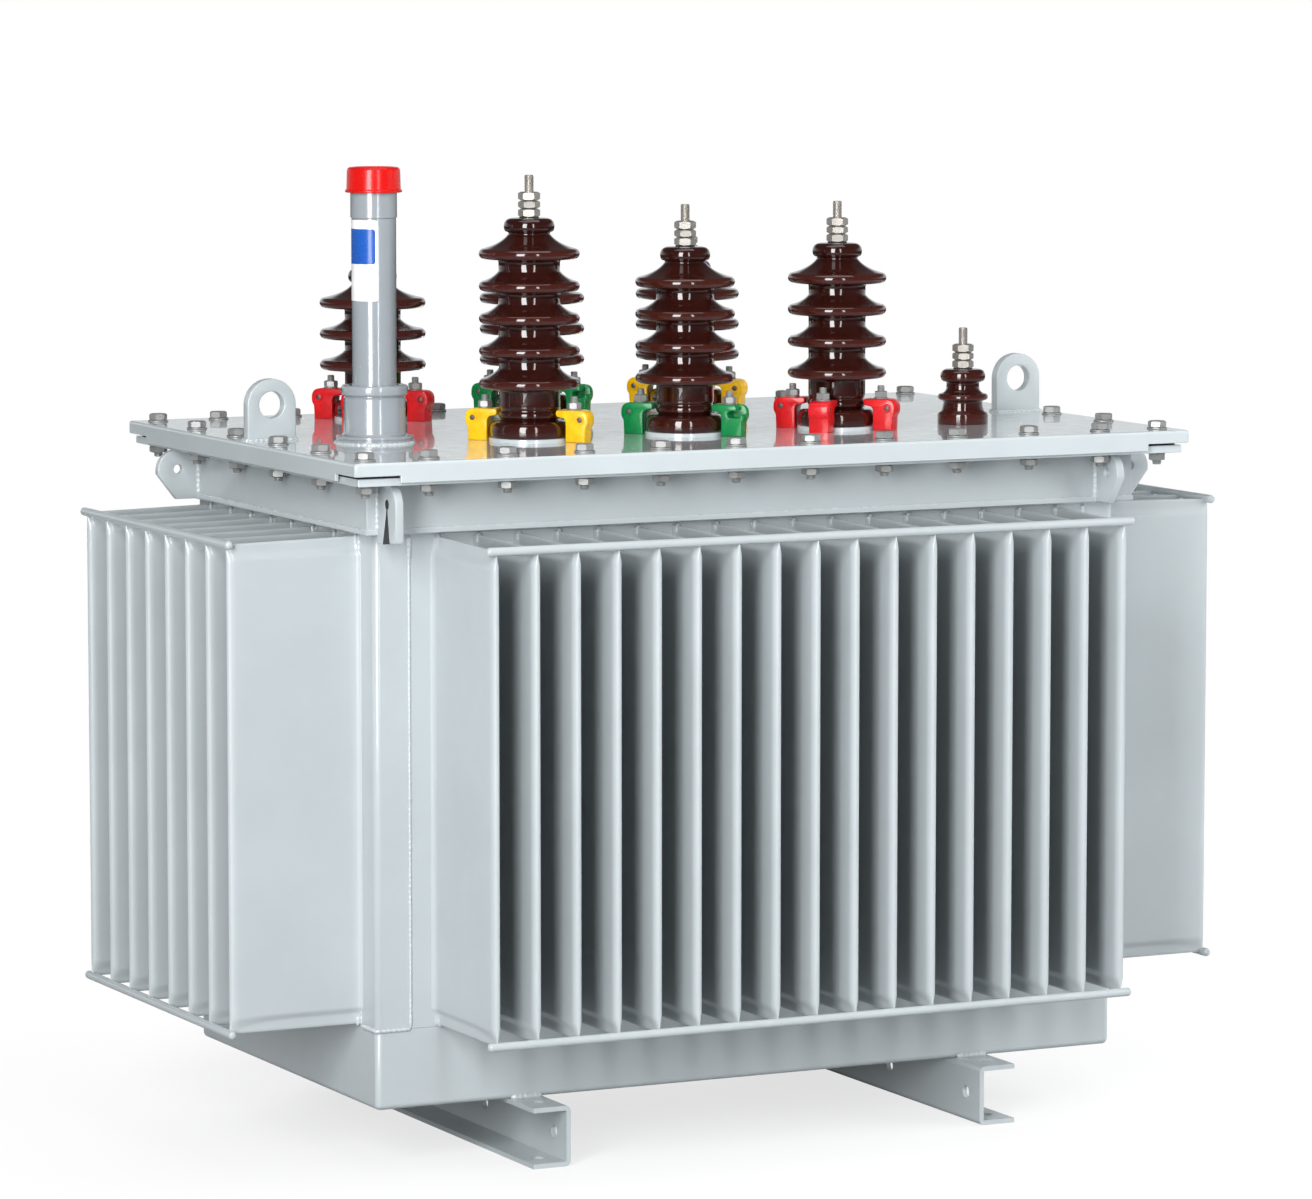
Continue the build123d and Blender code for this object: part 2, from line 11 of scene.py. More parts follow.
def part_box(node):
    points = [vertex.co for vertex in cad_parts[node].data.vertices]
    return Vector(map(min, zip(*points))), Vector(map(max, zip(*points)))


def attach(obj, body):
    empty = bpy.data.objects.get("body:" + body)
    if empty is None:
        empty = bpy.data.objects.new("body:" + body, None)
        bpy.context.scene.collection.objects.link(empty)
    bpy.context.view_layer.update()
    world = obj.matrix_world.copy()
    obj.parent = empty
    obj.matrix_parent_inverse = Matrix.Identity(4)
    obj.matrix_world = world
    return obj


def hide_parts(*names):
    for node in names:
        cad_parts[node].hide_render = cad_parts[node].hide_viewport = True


# A distribution transformer, dressed over its frame. Sizes here are in millimetres and are
# scaled to metres when a piece is made. Angles are in degrees.
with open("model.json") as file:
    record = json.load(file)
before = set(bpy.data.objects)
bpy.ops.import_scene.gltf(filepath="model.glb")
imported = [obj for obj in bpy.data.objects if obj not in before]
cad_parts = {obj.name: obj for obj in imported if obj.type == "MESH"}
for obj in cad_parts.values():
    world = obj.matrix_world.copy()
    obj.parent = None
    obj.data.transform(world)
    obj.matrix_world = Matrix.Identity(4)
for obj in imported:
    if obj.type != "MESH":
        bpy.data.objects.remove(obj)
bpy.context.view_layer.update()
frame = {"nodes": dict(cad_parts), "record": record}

MM = 0.001
TAU = 2 * math.pi
BODY = "root"
SIDE_TURN = {"front": 0, "right": 90, "back": 180, "left": -90}

# The photograph's camera
PHOTO_WIDTH = 1312
FOCAL_PIXELS = 6030.5
SENSOR = 36.0
CAMERA_AT = (-2.8391, -5.7750, 1.2414)
CAMERA_DOWN = 6.2
CAMERA_TURN = 26.2

# Cooling fins
FIN_COUNT = {"front": 17, "right": 8, "back": 17, "left": 8}
FIN_THICK = 10.0
FIN_EDGE = 3.0
FIN_FLAT = 10.0
FIN_OPEN = 8.0
FIN_TIP_FLAT = 2.5
FIN_TIP_OPEN = 15.0
FIN_TIP = 9.0
FIN_NOSE_FROM = 60.0
FIN_NOSE_RUN = 50.0
FIN_SHADE_DEPTH = 30.0
FIN_SHADE_FROM = 3.0
FIN_ROOT_FLARE = 4.0
FIN_WAVE = 0.45
FIN_WAVE_OUT = 60.0
FIN_WAVE_UP = 110.0
FIN_ROOT_RISE = 3.0
ROD_D = 9.0

# Lid bolts with washers, and nuts under the flange
BOLT_D = 10.0
BOLT_PITCH = 1.5
BOLT_FLATS = 17.0
BOLT_HEAD_H = 7.0
BOLT_NUT_H = 7.2
BOLT_END = 4.6
WASHER_D = 21.5
WASHER_H = 1.8
BOLT_INSET_END = 23.0
BOLT_INSET_SIDE = 28.5
BOLT_LONG_REACH = 388.0
BOLT_LONG_COUNT = 10
BOLT_SHORT_COUNT = 6

# Lugs on the neck and eyes on the lid
PLATE_ROUND = 1.3
LUG_FOOT = 25.0
LUG_SLOPE_RISE = 27.0
LUG_TOP_R = 22.0
LUG_HOLE_D = 10.0
LUG_HOLE_OUT = 23.0
LUG_HOLE_DROP = 21.0
SLOT_LUG_DROP = 9.0
SLOT_FROM = 12.0
SLOT_TO = 29.5
SLOT_STEP = 2.5
LUG_WELD = (51.0, 2.0)
EYE_HOLE_D = 28.0

# Filler pipe, heights from the lid's top
FILLER_BASE_TOP = 60.0
FILLER_FOOT_R = 40.0
PIPE_R = 23.0
SLEEVE_R = 24.0
SLEEVE_LOW = 232.0
CAP_LOW = 258.0
CAP_TOP = 284.0

# Label on the pipe
LABEL_TOP = 230.0
LABEL_HEIGHT = 83.0
LABEL_LIFT = 0.25
LABEL_CORNER = 3.0
LABEL_FROM = 136.0
LABEL_TO = 257.0
PANEL_DROP = 9.0
PANEL_HEIGHT = 36.0
PANEL_FROM = 150.0
PANEL_TO = 250.0
PANEL_THICK = 0.16

# Porcelain of the large bushings, heights from its seat
RING_H = 6.0
RING_R = 42.0
CORE_R = {"front_left": 31.8}
CORE_PLAIN_R = 30.2
RIM_SWELL = 1.2
FIRST_SHED = 54.0
SHED_PITCH = 33.5
SHED_COUNT = {
    "front_left": 5, "front_middle": 4, "front_right": 4,
    "back_left": 3, "back_middle": 3, "back_right": 3,
}
CLAMP_COLOUR = {
    "front_left": "yellow", "front_middle": "green", "front_right": "red",
    "back_left": "red", "back_middle": "green", "back_right": "yellow",
}
CLAMP_ANGLES = (-45, 45, 135, -135)
OPEN_CLAMP_ANGLES = (-45, 45, 135)
THREE_CLAMPS = ("front_left", "front_middle")

# Terminal studs: three nuts, the middle one thin and turned
STUD_D = 10.0
STUD_PITCH = 1.5
NUT_FLATS = 19.8
NUT_STACK = ((0.7, 9.2, 3.0), (9.7, 17.4, 7.0), (17.9, 26.6, 2.0))
STUD_TOP = 44.0

# Clamps, along their own radius from the bushing's axis
CLAMP_WIDTH = 22.0
CLAMP_CHEEK = 7.0
BOSS_R = 59.0
BOSS_RISE = 23.5
CLAMP_HEIGHT = 33.0
CLAMP_STUD_R = 49.0
CLAMP_NUT_FLATS = 13.0
CLAMP_NUT_H = 7.0
CLAMP_STUD_D = 8.0
CLAMP_STUD_PITCH = 1.25
CLAMP_WASHER_D = 15.5
CLAMP_WASHER_H = 1.2
CLAMP_STUD_TOP = 14.0

# Weld beads and the lip at the neck's foot
LIP_H = 5.2
POST_LEG = 38.0
BEAD_STEP = 1.6
BEAD_RIPPLE = 5.6


def box_mm(node):
    """A node's lowest and highest corners in millimetres."""
    low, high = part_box(node)
    return np.array(low) / MM, np.array(high) / MM


def middle_mm(node):
    """The middle of a node's box in millimetres."""
    low, high = box_mm(node)
    return (low + high) / 2


LID_HIGH = box_mm("lid")[1]
LID_TOP = LID_HIGH[2]
SEAT = LID_TOP + RING_H
NECK_LOW, NECK_HIGH = box_mm("top_frame")
PAN_LOW, PAN_HIGH = box_mm("tank_base")


# Geometry

def put(name, data):
    """A new object in the scene."""
    made = bpy.data.objects.new(name, data)
    bpy.context.scene.collection.objects.link(made)
    return made


def turned(points, degrees):
    """Points turned about the Z axis."""
    angle = math.radians(degrees)
    c, s = math.cos(angle), math.sin(angle)
    return np.asarray(points, float) @ np.array([[c, s, 0], [-s, c, 0], [0, 0, 1]])


def moved(part, by):
    """A part moved, before any turn."""
    return part[0] + np.array(by), part[1]


def standing(part):
    """A part drawn in X and Y, stood up so that its Y points up."""
    verts, faces = part
    return np.column_stack([verts[:, 0], -verts[:, 2], verts[:, 1]]), faces


class Shape:
    """Vertices and faces of one piece, gathered part by part."""

    def __init__(self):
        self.verts = []
        self.faces = []
        self.count = 0

    def add(self, part, turn=0, at=(0, 0, 0)):
        verts, faces = part
        self.verts.append(turned(verts, turn) + np.asarray(at, float))
        self.faces += [[i + self.count for i in face] for face in faces]
        self.count += len(verts)

    def part(self):
        """All that was added, as one part."""
        return np.vstack(self.verts), self.faces

    def piece(self, name, slot=None, nodes=(), material=None, sharp=38):
        """Make the piece, ride it on the part and let it stand for CAD nodes; its slot has a finish."""
        mesh = bpy.data.meshes.new(name)
        verts, faces = self.part()
        mesh.from_pydata((verts * MM).tolist(), [], faces)
        work = bmesh.new()
        work.from_mesh(mesh)
        bmesh.ops.recalc_face_normals(work, faces=work.faces)
        work.to_mesh(mesh)
        work.free()
        mesh.materials.append(material or MATERIALS[slot])
        mesh.shade_smooth()
        mesh.set_sharp_from_angle(angle=math.radians(sharp))
        piece = put(name, mesh)
        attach(piece, BODY)
        if nodes:
            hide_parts(*nodes)
        return piece


def skin(rings):
    """A closed skin over a stack of closed loops, with a flat face at each end."""
    rows, cols = len(rings), len(rings[0])
    faces = [list(range(cols)), list(range((rows - 1) * cols, rows * cols))]
    for i in range(rows - 1):
        for j in range(cols):
            k = (j + 1) % cols
            faces.append((i * cols + j, i * cols + k, (i + 1) * cols + k, (i + 1) * cols + j))
    return np.concatenate(rings), faces


def circle(radius, z, steps):
    """A level loop about the Z axis."""
    angles = np.linspace(0, TAU, steps, endpoint=False)
    radius = np.broadcast_to(radius, angles.shape)
    z = np.broadcast_to(z, angles.shape)
    return np.column_stack([radius * np.cos(angles), radius * np.sin(angles), z])


def lathe(profile, steps=72):
    """A profile of radius and height turned about the Z axis; it starts and ends in flat faces."""
    return skin([circle(r, z, steps) for r, z in profile])


def bend(start, pull, end, steps):
    """Points of a curve from start to end that leans towards pull; its first point is left out."""
    start, pull, end = (np.array(p, float) for p in (start, pull, end))
    t = np.linspace(0, 1, steps + 1)[1:, None]
    return [tuple(p) for p in (1 - t) ** 2 * start + 2 * t * (1 - t) * pull + t ** 2 * end]


def round_arc(centre, radius, start, end, steps):
    """Points on an arc in radius and height, from angle to angle."""
    angles = np.radians(np.linspace(start, end, steps + 1))
    return [(centre[0] + radius * math.cos(a), centre[1] + radius * math.sin(a)) for a in angles]


def hexagon(flats, low, high, turn=0.0, ease=0.93):
    """A nut or bolt head with its corners turned off at both ends."""
    steps = 48
    angles = np.degrees(np.linspace(0, TAU, steps, endpoint=False))
    from_flat = np.radians((angles + 30) % 60 - 30)
    outer = flats / 2 / np.cos(from_flat)
    inner = flats / 2 * ease
    drop = (outer - inner) * math.tan(math.radians(30))
    rings = [
        circle(inner, low, steps), circle(outer, low + drop, steps),
        circle(outer, high - drop, steps), circle(inner, high, steps),
    ]
    verts, faces = skin(rings)
    return turned(verts, turn), faces


def thread(diameter, pitch, low, high, steps=20):
    """A screw thread with its upper end bevelled."""
    rows = max(8, int((high - low) / pitch * 6))
    heights = np.linspace(low, high, rows)
    turn = np.linspace(0, 1, steps, endpoint=False)
    rings = []
    for z in heights:
        ridge = np.abs((z / pitch - turn) % 1 - 0.5) * 2
        radius = diameter / 2 - 0.5 * pitch * (1 - ridge)
        end = diameter / 2 - 0.7 * max(0.0, z - (high - pitch))
        rings.append(circle(np.minimum(radius, end), z, steps))
    return skin(rings)


def plate(outlines, thick, rounding):
    """A flat plate in X and Y with rounded edges, from its outline and those of its holes."""
    curve = bpy.data.curves.new("outline", "CURVE")
    curve.dimensions = "2D"
    curve.fill_mode = "BOTH"
    curve.extrude = thick / 2 - rounding
    curve.bevel_depth = rounding
    curve.bevel_resolution = 2
    curve.offset = -rounding
    for outline in outlines:
        spline = curve.splines.new("POLY")
        spline.points.add(len(outline) - 1)
        for point, (x, y) in zip(spline.points, outline):
            point.co = (x, y, 0, 1)
        spline.use_cyclic_u = True
    holder = bpy.data.objects.new("outline", curve)
    mesh = bpy.data.meshes.new_from_object(holder)
    work = bmesh.new()
    work.from_mesh(mesh)
    bmesh.ops.remove_doubles(work, verts=work.verts, dist=1e-4)
    work.verts.index_update()
    verts = np.array([v.co for v in work.verts])
    faces = [[v.index for v in face.verts] for face in work.faces]
    work.free()
    bpy.data.objects.remove(holder)
    bpy.data.curves.remove(curve)
    bpy.data.meshes.remove(mesh)
    return verts, faces


def bead(path, size, rng, closed=False, rough=0.2):
    """A weld bead: a rounded rope with ripples, half sunk in the corner it fills."""
    path = [np.array(p, float) for p in path]
    if closed:
        path.append(path[0])
    path = np.array(path)
    run = np.concatenate([[0], np.cumsum(np.linalg.norm(np.diff(path, axis=0), axis=1))])
    count = max(4, int(run[-1] / BEAD_STEP))
    along = np.linspace(0, run[-1], count)
    centre = np.column_stack([np.interp(along, run, path[:, i]) for i in range(3)])
    ahead = np.gradient(centre, axis=0)
    ahead /= np.linalg.norm(ahead, axis=1)[:, None]
    start = rng.uniform(0, TAU)
    rings = []
    for i, (point, direction) in enumerate(zip(centre, ahead)):
        side = np.cross(direction, (0, 0, 1) if abs(direction[2]) < 0.9 else (1, 0, 0))
        side /= np.linalg.norm(side)
        up = np.cross(side, direction)
        ripple = rough * (math.sin(start + TAU * along[i] / BEAD_RIPPLE) + rng.uniform(-0.4, 0.4))
        end = min(i, count - 1 - i)
        taper = 1.0 if closed else min(1.0, 0.45 + 0.3 * end)
        radius = size * (1 + ripple) * taper
        angles = np.linspace(0, TAU, 8, endpoint=False)
        rings.append(point + radius * (np.outer(np.cos(angles), side) + np.outer(np.sin(angles), up)))
    return skin(rings)


# Materials

def shader(name, **values):
    """A material with its main shader's sockets set; returns it, its node tree and that shader."""
    material = bpy.data.materials.new(name)
    material.use_nodes = True
    tree = material.node_tree
    main = tree.nodes["Principled BSDF"]
    for socket, value in values.items():
        main.inputs[socket.replace("_", " ")].default_value = value
    return material, tree, main


def node(tree, kind, settings=None, **links):
    """A node with its properties and sockets set; a socket takes a value or another node's output."""
    made = tree.nodes.new(kind)
    for key, value in (settings or {}).items():
        setattr(made, key, value)
    for socket, value in links.items():
        numbered = socket[0] == "i" and socket[1:].isdigit()
        target = made.inputs[int(socket[1:]) if numbered else socket]
        if isinstance(value, bpy.types.NodeSocket):
            tree.links.new(value, target)
        else:
            target.default_value = value
    return made


def spots(tree, scale, detail=2.0, roughness=0.5):
    """Noise over the object's own coordinates, in cycles per metre."""
    place = node(tree, "ShaderNodeTexCoord").outputs["Object"]
    made = node(tree, "ShaderNodeTexNoise", Vector=place, Scale=scale, Detail=detail, Roughness=roughness)
    return made.outputs["Fac"]


def ramp(tree, amount, low, high, start=0.0, end=1.0, kind="LINEAR"):
    """A number that goes from start to end as amount goes from low to high."""
    made = node(tree, "ShaderNodeMapRange", {"interpolation_type": kind}, i0=amount, i1=low, i2=high)
    made.inputs[3].default_value = start
    made.inputs[4].default_value = end
    return made.outputs[0]


def blend(tree, amount, first, second):
    """A mix of two colours."""
    return node(tree, "ShaderNodeMix", {"data_type": "RGBA"}, i0=amount, i6=first, i7=second).outputs[2]


def between(tree, amount, low, high, colour_low, colour_high):
    """A colour that goes from one to the other as amount goes from low to high."""
    return blend(tree, ramp(tree, amount, low, high), colour_low, colour_high)


def maths(tree, operation, *values):
    """The result of a calculation on numbers or on other nodes' outputs."""
    links = {f"i{i}": value for i, value in enumerate(values)}
    return node(tree, "ShaderNodeMath", {"operation": operation}, **links).outputs[0]


def surface(tree, main, tone, grain, low, high):
    """Link a colour to a shader, and a roughness that goes from low to high over fine spots."""
    tree.links.new(tone, main.inputs["Base Color"])
    tree.links.new(ramp(tree, spots(tree, *grain), 0.3, 0.7, low, high), main.inputs["Roughness"])


def bumps(tree, main, layers):
    """Stacked bump layers of (height, strength, depth in metres) on a shader."""
    below = None
    for height, strength, depth in layers:
        bump = node(tree, "ShaderNodeBump", Strength=strength, Distance=depth, Height=height)
        if below:
            tree.links.new(below, bump.inputs["Normal"])
        below = bump.outputs["Normal"]
    tree.links.new(below, main.inputs["Normal"])
    return below


def shade_of(colour, factor):
    """A colour made lighter or darker."""
    return (*[min(1.0, c * factor) for c in colour], 1.0)


def enamel(name, colour, rough=0.34, coat=0.5, coat_rough=0.07, peel=0.06, wave=0.05, painted_recess_shade=0.0):
    """Sprayed enamel on steel: tone drift, orange peel, long waves, and painted shade in recesses, where
    the base colour is darkened to stand in for occlusion.
    """
    material, tree, main = shader(name, Coat_Weight=coat, Coat_Roughness=coat_rough)
    drift = spots(tree, 7.0, 4.0, 0.6)
    tone = between(tree, drift, 0.3, 0.7, shade_of(colour, 0.955), shade_of(colour, 1.035))
    # Painted shade: the base colour darkens with the stored depth between fins, standing in for occlusion.
    if painted_recess_shade:
        shade_amount = node(tree, "ShaderNodeAttribute", {"attribute_name": "painted_recess_shade"}).outputs["Fac"]
        tone = between(tree, shade_amount, 0.0, 1.0, tone, shade_of(colour, 1 - painted_recess_shade))
    surface(tree, main, tone, (60.0, 5.0), rough - 0.05, rough + 0.06)
    bumps(tree, main, [(spots(tree, 9.0, 1.0), wave, 0.004), (spots(tree, 700.0, 2.0), peel, 0.0004)])
    return material


def casting(name, colour):
    """Gloss paint over a sand casting: soft pits and a worn tone."""
    material, tree, main = shader(name, Coat_Weight=0.3, Coat_Roughness=0.05, Specular_IOR_Level=0.2)
    drift = spots(tree, 90.0, 4.0, 0.6)
    tone = between(tree, drift, 0.32, 0.68, shade_of(colour, 0.78), shade_of(colour, 1.08))
    surface(tree, main, tone, (250.0, 3.0), 0.24, 0.42)
    bumps(tree, main, [(spots(tree, 260.0, 3.0), 0.22, 0.0006)])
    return material


def glaze(name):
    """Brown salt glaze: nearly black where it is thick, redder where it runs thin."""
    material, tree, main = shader(
        name, Roughness=0.12, Coat_Weight=0.9, Coat_Roughness=0.015, Specular_IOR_Level=0.15,
    )
    rim = node(tree, "ShaderNodeAttribute", {"attribute_name": "rim"}).outputs["Fac"]
    thin = maths(tree, "ADD", rim, spots(tree, 55.0, 5.0, 0.6))
    colour = between(tree, thin, 0.25, 1.5, (0.013, 0.0026, 0.0019, 1), (0.044, 0.0088, 0.006, 1))
    tree.links.new(colour, main.inputs["Base Color"])
    bumps(tree, main, [(spots(tree, 40.0, 2.0), 0.03, 0.002)])
    return material


def plating(name, colour, low, high, metal=0.75):
    """Dull plated steel with slow changes of tone and gloss."""
    material, tree, main = shader(name, Metallic=metal)
    drift = spots(tree, 60.0, 3.0, 0.6)
    tone = between(tree, drift, 0.3, 0.7, shade_of(colour, 0.86), shade_of(colour, 1.05))
    surface(tree, main, tone, (80.0, 3.0), low, high)
    bumps(tree, main, [(spots(tree, 60.0, 1.0), 0.04, 0.0003)])
    return material


def moulding(name, colour, rough):
    """A moulded or printed plastic with a slight mottle."""
    material, tree, main = shader(name, Coat_Weight=0.15, Coat_Roughness=0.08, Specular_IOR_Level=0.3)
    drift = spots(tree, 45.0, 3.0)
    tone = between(tree, drift, 0.3, 0.7, shade_of(colour, 0.93), shade_of(colour, 1.05))
    surface(tree, main, tone, (400.0, 3.0), rough - 0.04, rough + 0.06)
    bumps(tree, main, [(spots(tree, 500.0, 2.0), 0.05, 0.0003)])
    return material


GREY = (0.43, 0.473, 0.49)
# The filler pipe's grey is the tank's grey made darker: painted shade, for the pipe's darker look under
# this light.
PIPE_GREY_PAINTED_SHADE = (0.275, 0.305, 0.327)
MATERIALS = {
    "grey_paint": enamel("grey_enamel", GREY),
    "brown_porcelain": glaze("brown_glaze"),
    "plated_steel": plating("bright_plate", (0.5, 0.475, 0.44), 0.27, 0.36),
    "gasket_rubber": moulding("gasket_rubber", (0.03, 0.03, 0.03), 0.7),
    "red_cap": moulding("red_moulding", (0.56, 0.006, 0.005), 0.24),
    "yellow_paint": casting("yellow_casting", (0.83, 0.47, 0.004)),
    "green_paint": casting("green_casting", (0.001, 0.2, 0.05)),
    "red_paint": casting("red_casting", (0.6, 0.008, 0.012)),
}
# Fin paint with painted shade between the fins, darkened by 28% at full depth.
FIN_ENAMEL_PAINTED_SHADE = enamel("fin_enamel_painted_shade", GREY, painted_recess_shade=0.28)
# The lid's grey is the tank's grey made 14% lighter: painted light, for the brighter lit edge of the lid.
LID_GREY_PAINTED_LIGHT = shade_of(GREY, 1.14)[:3]
LID_ENAMEL_PAINTED_LIGHT = enamel("lid_enamel_painted_light", LID_GREY_PAINTED_LIGHT, rough=0.2, coat=0.85, coat_rough=0.03, peel=0.03, wave=0.03)
PIPE_ENAMEL_PAINTED_SHADE = enamel("pipe_enamel_painted_shade", PIPE_GREY_PAINTED_SHADE, rough=0.22, coat=0.8, coat_rough=0.04, peel=0.03, wave=0.02)
# Weld beads get the tank's grey made 12% lighter: a painted highlight, so that the beads read bright.
WELD_ENAMEL_PAINTED_HIGHLIGHT = enamel("weld_enamel_painted_highlight", shade_of(GREY, 1.12)[:3], rough=0.26, coat=0.8, peel=0.12, wave=0.05)
BOLT_ZINC = plating("bolt_zinc", (0.35, 0.355, 0.35), 0.42, 0.54, metal=0.55)
DARK_STEEL = plating("dark_steel", (0.11, 0.09, 0.085), 0.4, 0.55)
# Near-black sheet for the lug's slot: painted shade, standing in for the shadow inside the slot.
SLOT_PAINTED_SHADE = moulding("slot_painted_shade", (0.045, 0.048, 0.05), 0.6)
LABEL_WHITE = moulding("label_white", (0.82, 0.82, 0.80), 0.3)
PANEL_BLUE = moulding("panel_blue", (0.015, 0.09, 0.40), 0.25)


# Pieces

def fin_section(depth):
    """Half the fin's outline from above: depth out from the wall, and the share of its half thickness."""
    straight = [-2.0, 0.0, 1.0, 2.5, 5.0, 10.0, 22.0, 38.0, 55.0, 72.0, 88.0, 102.0, 112.0, 121.0, 127.5]
    flare = [FIN_ROOT_FLARE * max(0.0, 1 - max(d, 0) / 5) ** 2 for d in straight]
    outline = [(d, 1.0, f) for d, f in zip(straight, flare)]
    for angle in np.radians(np.linspace(0, 90, 13)):
        outline.append((depth - FIN_TIP * (1 - math.sin(angle)), math.cos(angle), 0.0))
    return outline


def fin(depth, low, high, number):
    """One pocket standing out along -Y: flat sides, a round nose and pinched ends."""
    half, edge = FIN_THICK / 2, FIN_EDGE / 2
    near = [0.0, 0.6, 3.0, 6.0, 8.0, 9.5, 11.0, 12.5, 14.0, 15.5, 17.0, 18.5, 20.0]
    near += [22.0, 24.5, 28.0, 36.0, 50.0]
    inner = np.linspace(70, high - low - 70, 11)
    heights = [low + e for e in near] + [low + e for e in inner] + [high - e for e in reversed(near)]
    outline = fin_section(depth)
    loop = [(d, share, f, 1) for d, share, f in outline]
    loop += [(d, share, f, -1) for d, share, f in reversed(outline[:-1])]
    rings = []
    for z in heights:
        end = min(z - low, high - z)
        ring = []
        for d, share, flare, side in loop:
            tip = min(1.0, max(0.0, (d - depth + FIN_NOSE_FROM) / FIN_NOSE_RUN)) ** 2
            flat = FIN_FLAT + (FIN_TIP_FLAT - FIN_FLAT) * tip
            open_up = min(1.0, max(0.0, end - flat) / (FIN_OPEN + (FIN_TIP_OPEN - FIN_OPEN) * tip))
            open_up = open_up ** 2 * (3 - 2 * open_up)
            thick = edge * (0.55 if end == 0 else 1.0) + (half - edge) * open_up
            inside = math.sin(math.pi * min(1.0, max(0.0, d / depth))) * open_up
            spot = Vector((d / FIN_WAVE_OUT, z / FIN_WAVE_UP, 7.3 * number + 40 * side))
            ripple = FIN_WAVE * inside * noise.noise(spot)
            rise = FIN_ROOT_RISE * (1 - max(0.0, d) / depth) * max(0.0, 1 - (high - z) / 60)
            ring.append((side * (thick * share + flare + ripple * share), -d, z + rise))
        rings.append(np.array(ring))
    return skin(rings)


def side_frame(side):
    """Half width, wall distance and fin tip distance of a side, and its fins' lowest and highest levels."""
    low, high = box_mm(f"{side}_fins")
    across, outward = (0, 1) if side in ("front", "back") else (1, 0)
    half = (high[across] - low[across]) / 2
    far = max(abs(low[outward]), abs(high[outward]))
    near = min(abs(low[outward]), abs(high[outward]))
    return half, near, far, low[2], high[2]


def fin_places(side):
    """Places of a side's fins along it."""
    half = side_frame(side)[0] - FIN_THICK / 2
    return np.linspace(-half, half, FIN_COUNT[side])


def store_painted_recess_shade(piece, side):
    """Store on each vertex how deep it lies between two fins, for the painted shade there; the row's two
    outer faces count as open.
    """
    half, _, far, _, _ = side_frame(side)
    across = 0 if side in ("front", "back") else 1
    layer = piece.data.attributes.new("painted_recess_shade", "FLOAT", "POINT")
    for vertex, value in zip(piece.data.vertices, layer.data):
        depth = far - abs(vertex.co[1 - across]) / MM
        inside = abs(vertex.co[across]) / MM < half - FIN_THICK / 2 + 0.5
        value.value = min(1.0, max(0.0, depth - FIN_SHADE_FROM) / FIN_SHADE_DEPTH) if inside else 0.0


def make_fins():
    number = 0
    for side, turn in SIDE_TURN.items():
        _, near, far, low, high = side_frame(side)
        shape = Shape()
        for x in fin_places(side):
            number += 1
            shape.add(moved(fin(far - near, low, high, number), (x, -near, 0)), turn)
        piece = shape.piece(f"{side}_fin_pockets", "grey_paint", [f"{side}_fins"], FIN_ENAMEL_PAINTED_SHADE, sharp=60)
        store_painted_recess_shade(piece, side)


def make_rods():
    """Rods along the fin tips, with a weld where each fin meets its rod."""
    rng = random.Random(11)
    for side, turn in SIDE_TURN.items():
        _, _, far, low, high = side_frame(side)
        rod_low, rod_high = box_mm(f"{side}_fin_rods")
        across = 0 if side in ("front", "back") else 1
        reach = (rod_high[across] - rod_low[across]) / 2
        shape = Shape()
        radius = ROD_D / 2
        ends = [(0.35, 0.0), (0.62, 0.5), (0.85, 1.4), (0.97, 2.6), (1.0, 4.0)]
        profile = [(radius * r, -reach + z) for r, z in ends]
        profile += [(radius * r, reach - z) for r, z in reversed(ends)]
        verts, faces = lathe(profile, 16)
        rod = verts[:, [2, 1, 0]], faces
        for level, inward in ((low, 1), (high, -1)):
            shape.add(moved(rod, (0, -far, level)), turn)
            for x in fin_places(side):
                y, z = -far + 3.6, level + inward * 2.4
                shape.add(bead([(x - 3.2, y, z), (x + 3.2, y, z)], 2.3, rng), turn)
        shape.piece(f"{side}_tip_rods", "grey_paint", [f"{side}_fin_rods"])


def bolt_places():
    """Places of the lid's bolts in plan."""
    end = LID_HIGH[0] - BOLT_INSET_END
    side = LID_HIGH[1] - BOLT_INSET_SIDE
    along = np.linspace(-BOLT_LONG_REACH, BOLT_LONG_REACH, BOLT_LONG_COUNT)
    places = [(x, y) for y in (-side, side) for x in along]
    return places + [(x, y) for x in (-end, end) for y in np.linspace(-side, side, BOLT_SHORT_COUNT)]


def washer(diameter, low, high):
    """A flat washer with eased edges."""
    r = diameter / 2
    return lathe([(r - 0.5, low), (r, low + 0.4), (r, high - 0.4), (r - 0.5, high)], 36)


def make_bolts():
    rng = random.Random(5)
    heads, nuts = Shape(), Shape()
    flange_low = box_mm("top_flange")[0][2]
    for x, y in bolt_places():
        turn = rng.uniform(0, 60)
        at = (x, y, LID_TOP)
        heads.add(washer(WASHER_D, 0, WASHER_H), turn, at)
        heads.add(hexagon(BOLT_FLATS, WASHER_H, WASHER_H + BOLT_HEAD_H), turn, at)
        turn = rng.uniform(0, 60)
        down = np.array((1, -1, -1))
        at = (x, y, flange_low)
        for verts, faces in (
            washer(WASHER_D - 1.5, 0, WASHER_H),
            hexagon(BOLT_FLATS, WASHER_H, WASHER_H + BOLT_NUT_H),
            thread(BOLT_D, BOLT_PITCH, WASHER_H + BOLT_NUT_H, WASHER_H + BOLT_NUT_H + BOLT_END),
        ):
            nuts.add((verts * down, faces), turn, at)
    heads.piece("lid_bolt_heads", "plated_steel", material=BOLT_ZINC)
    nuts.piece("lid_bolt_nuts", "plated_steel", material=BOLT_ZINC)


def round_hole(centre, diameter, steps=32):
    """A hole's outline."""
    return round_arc(centre, diameter / 2, 0, 360 - 360 / steps, steps - 1)


def lug_size():
    """Reach, height and thickness of a lug."""
    low, high = box_mm("left_tie_lug")
    return high[0] - low[0], high[2] - low[2], high[1] - low[1]


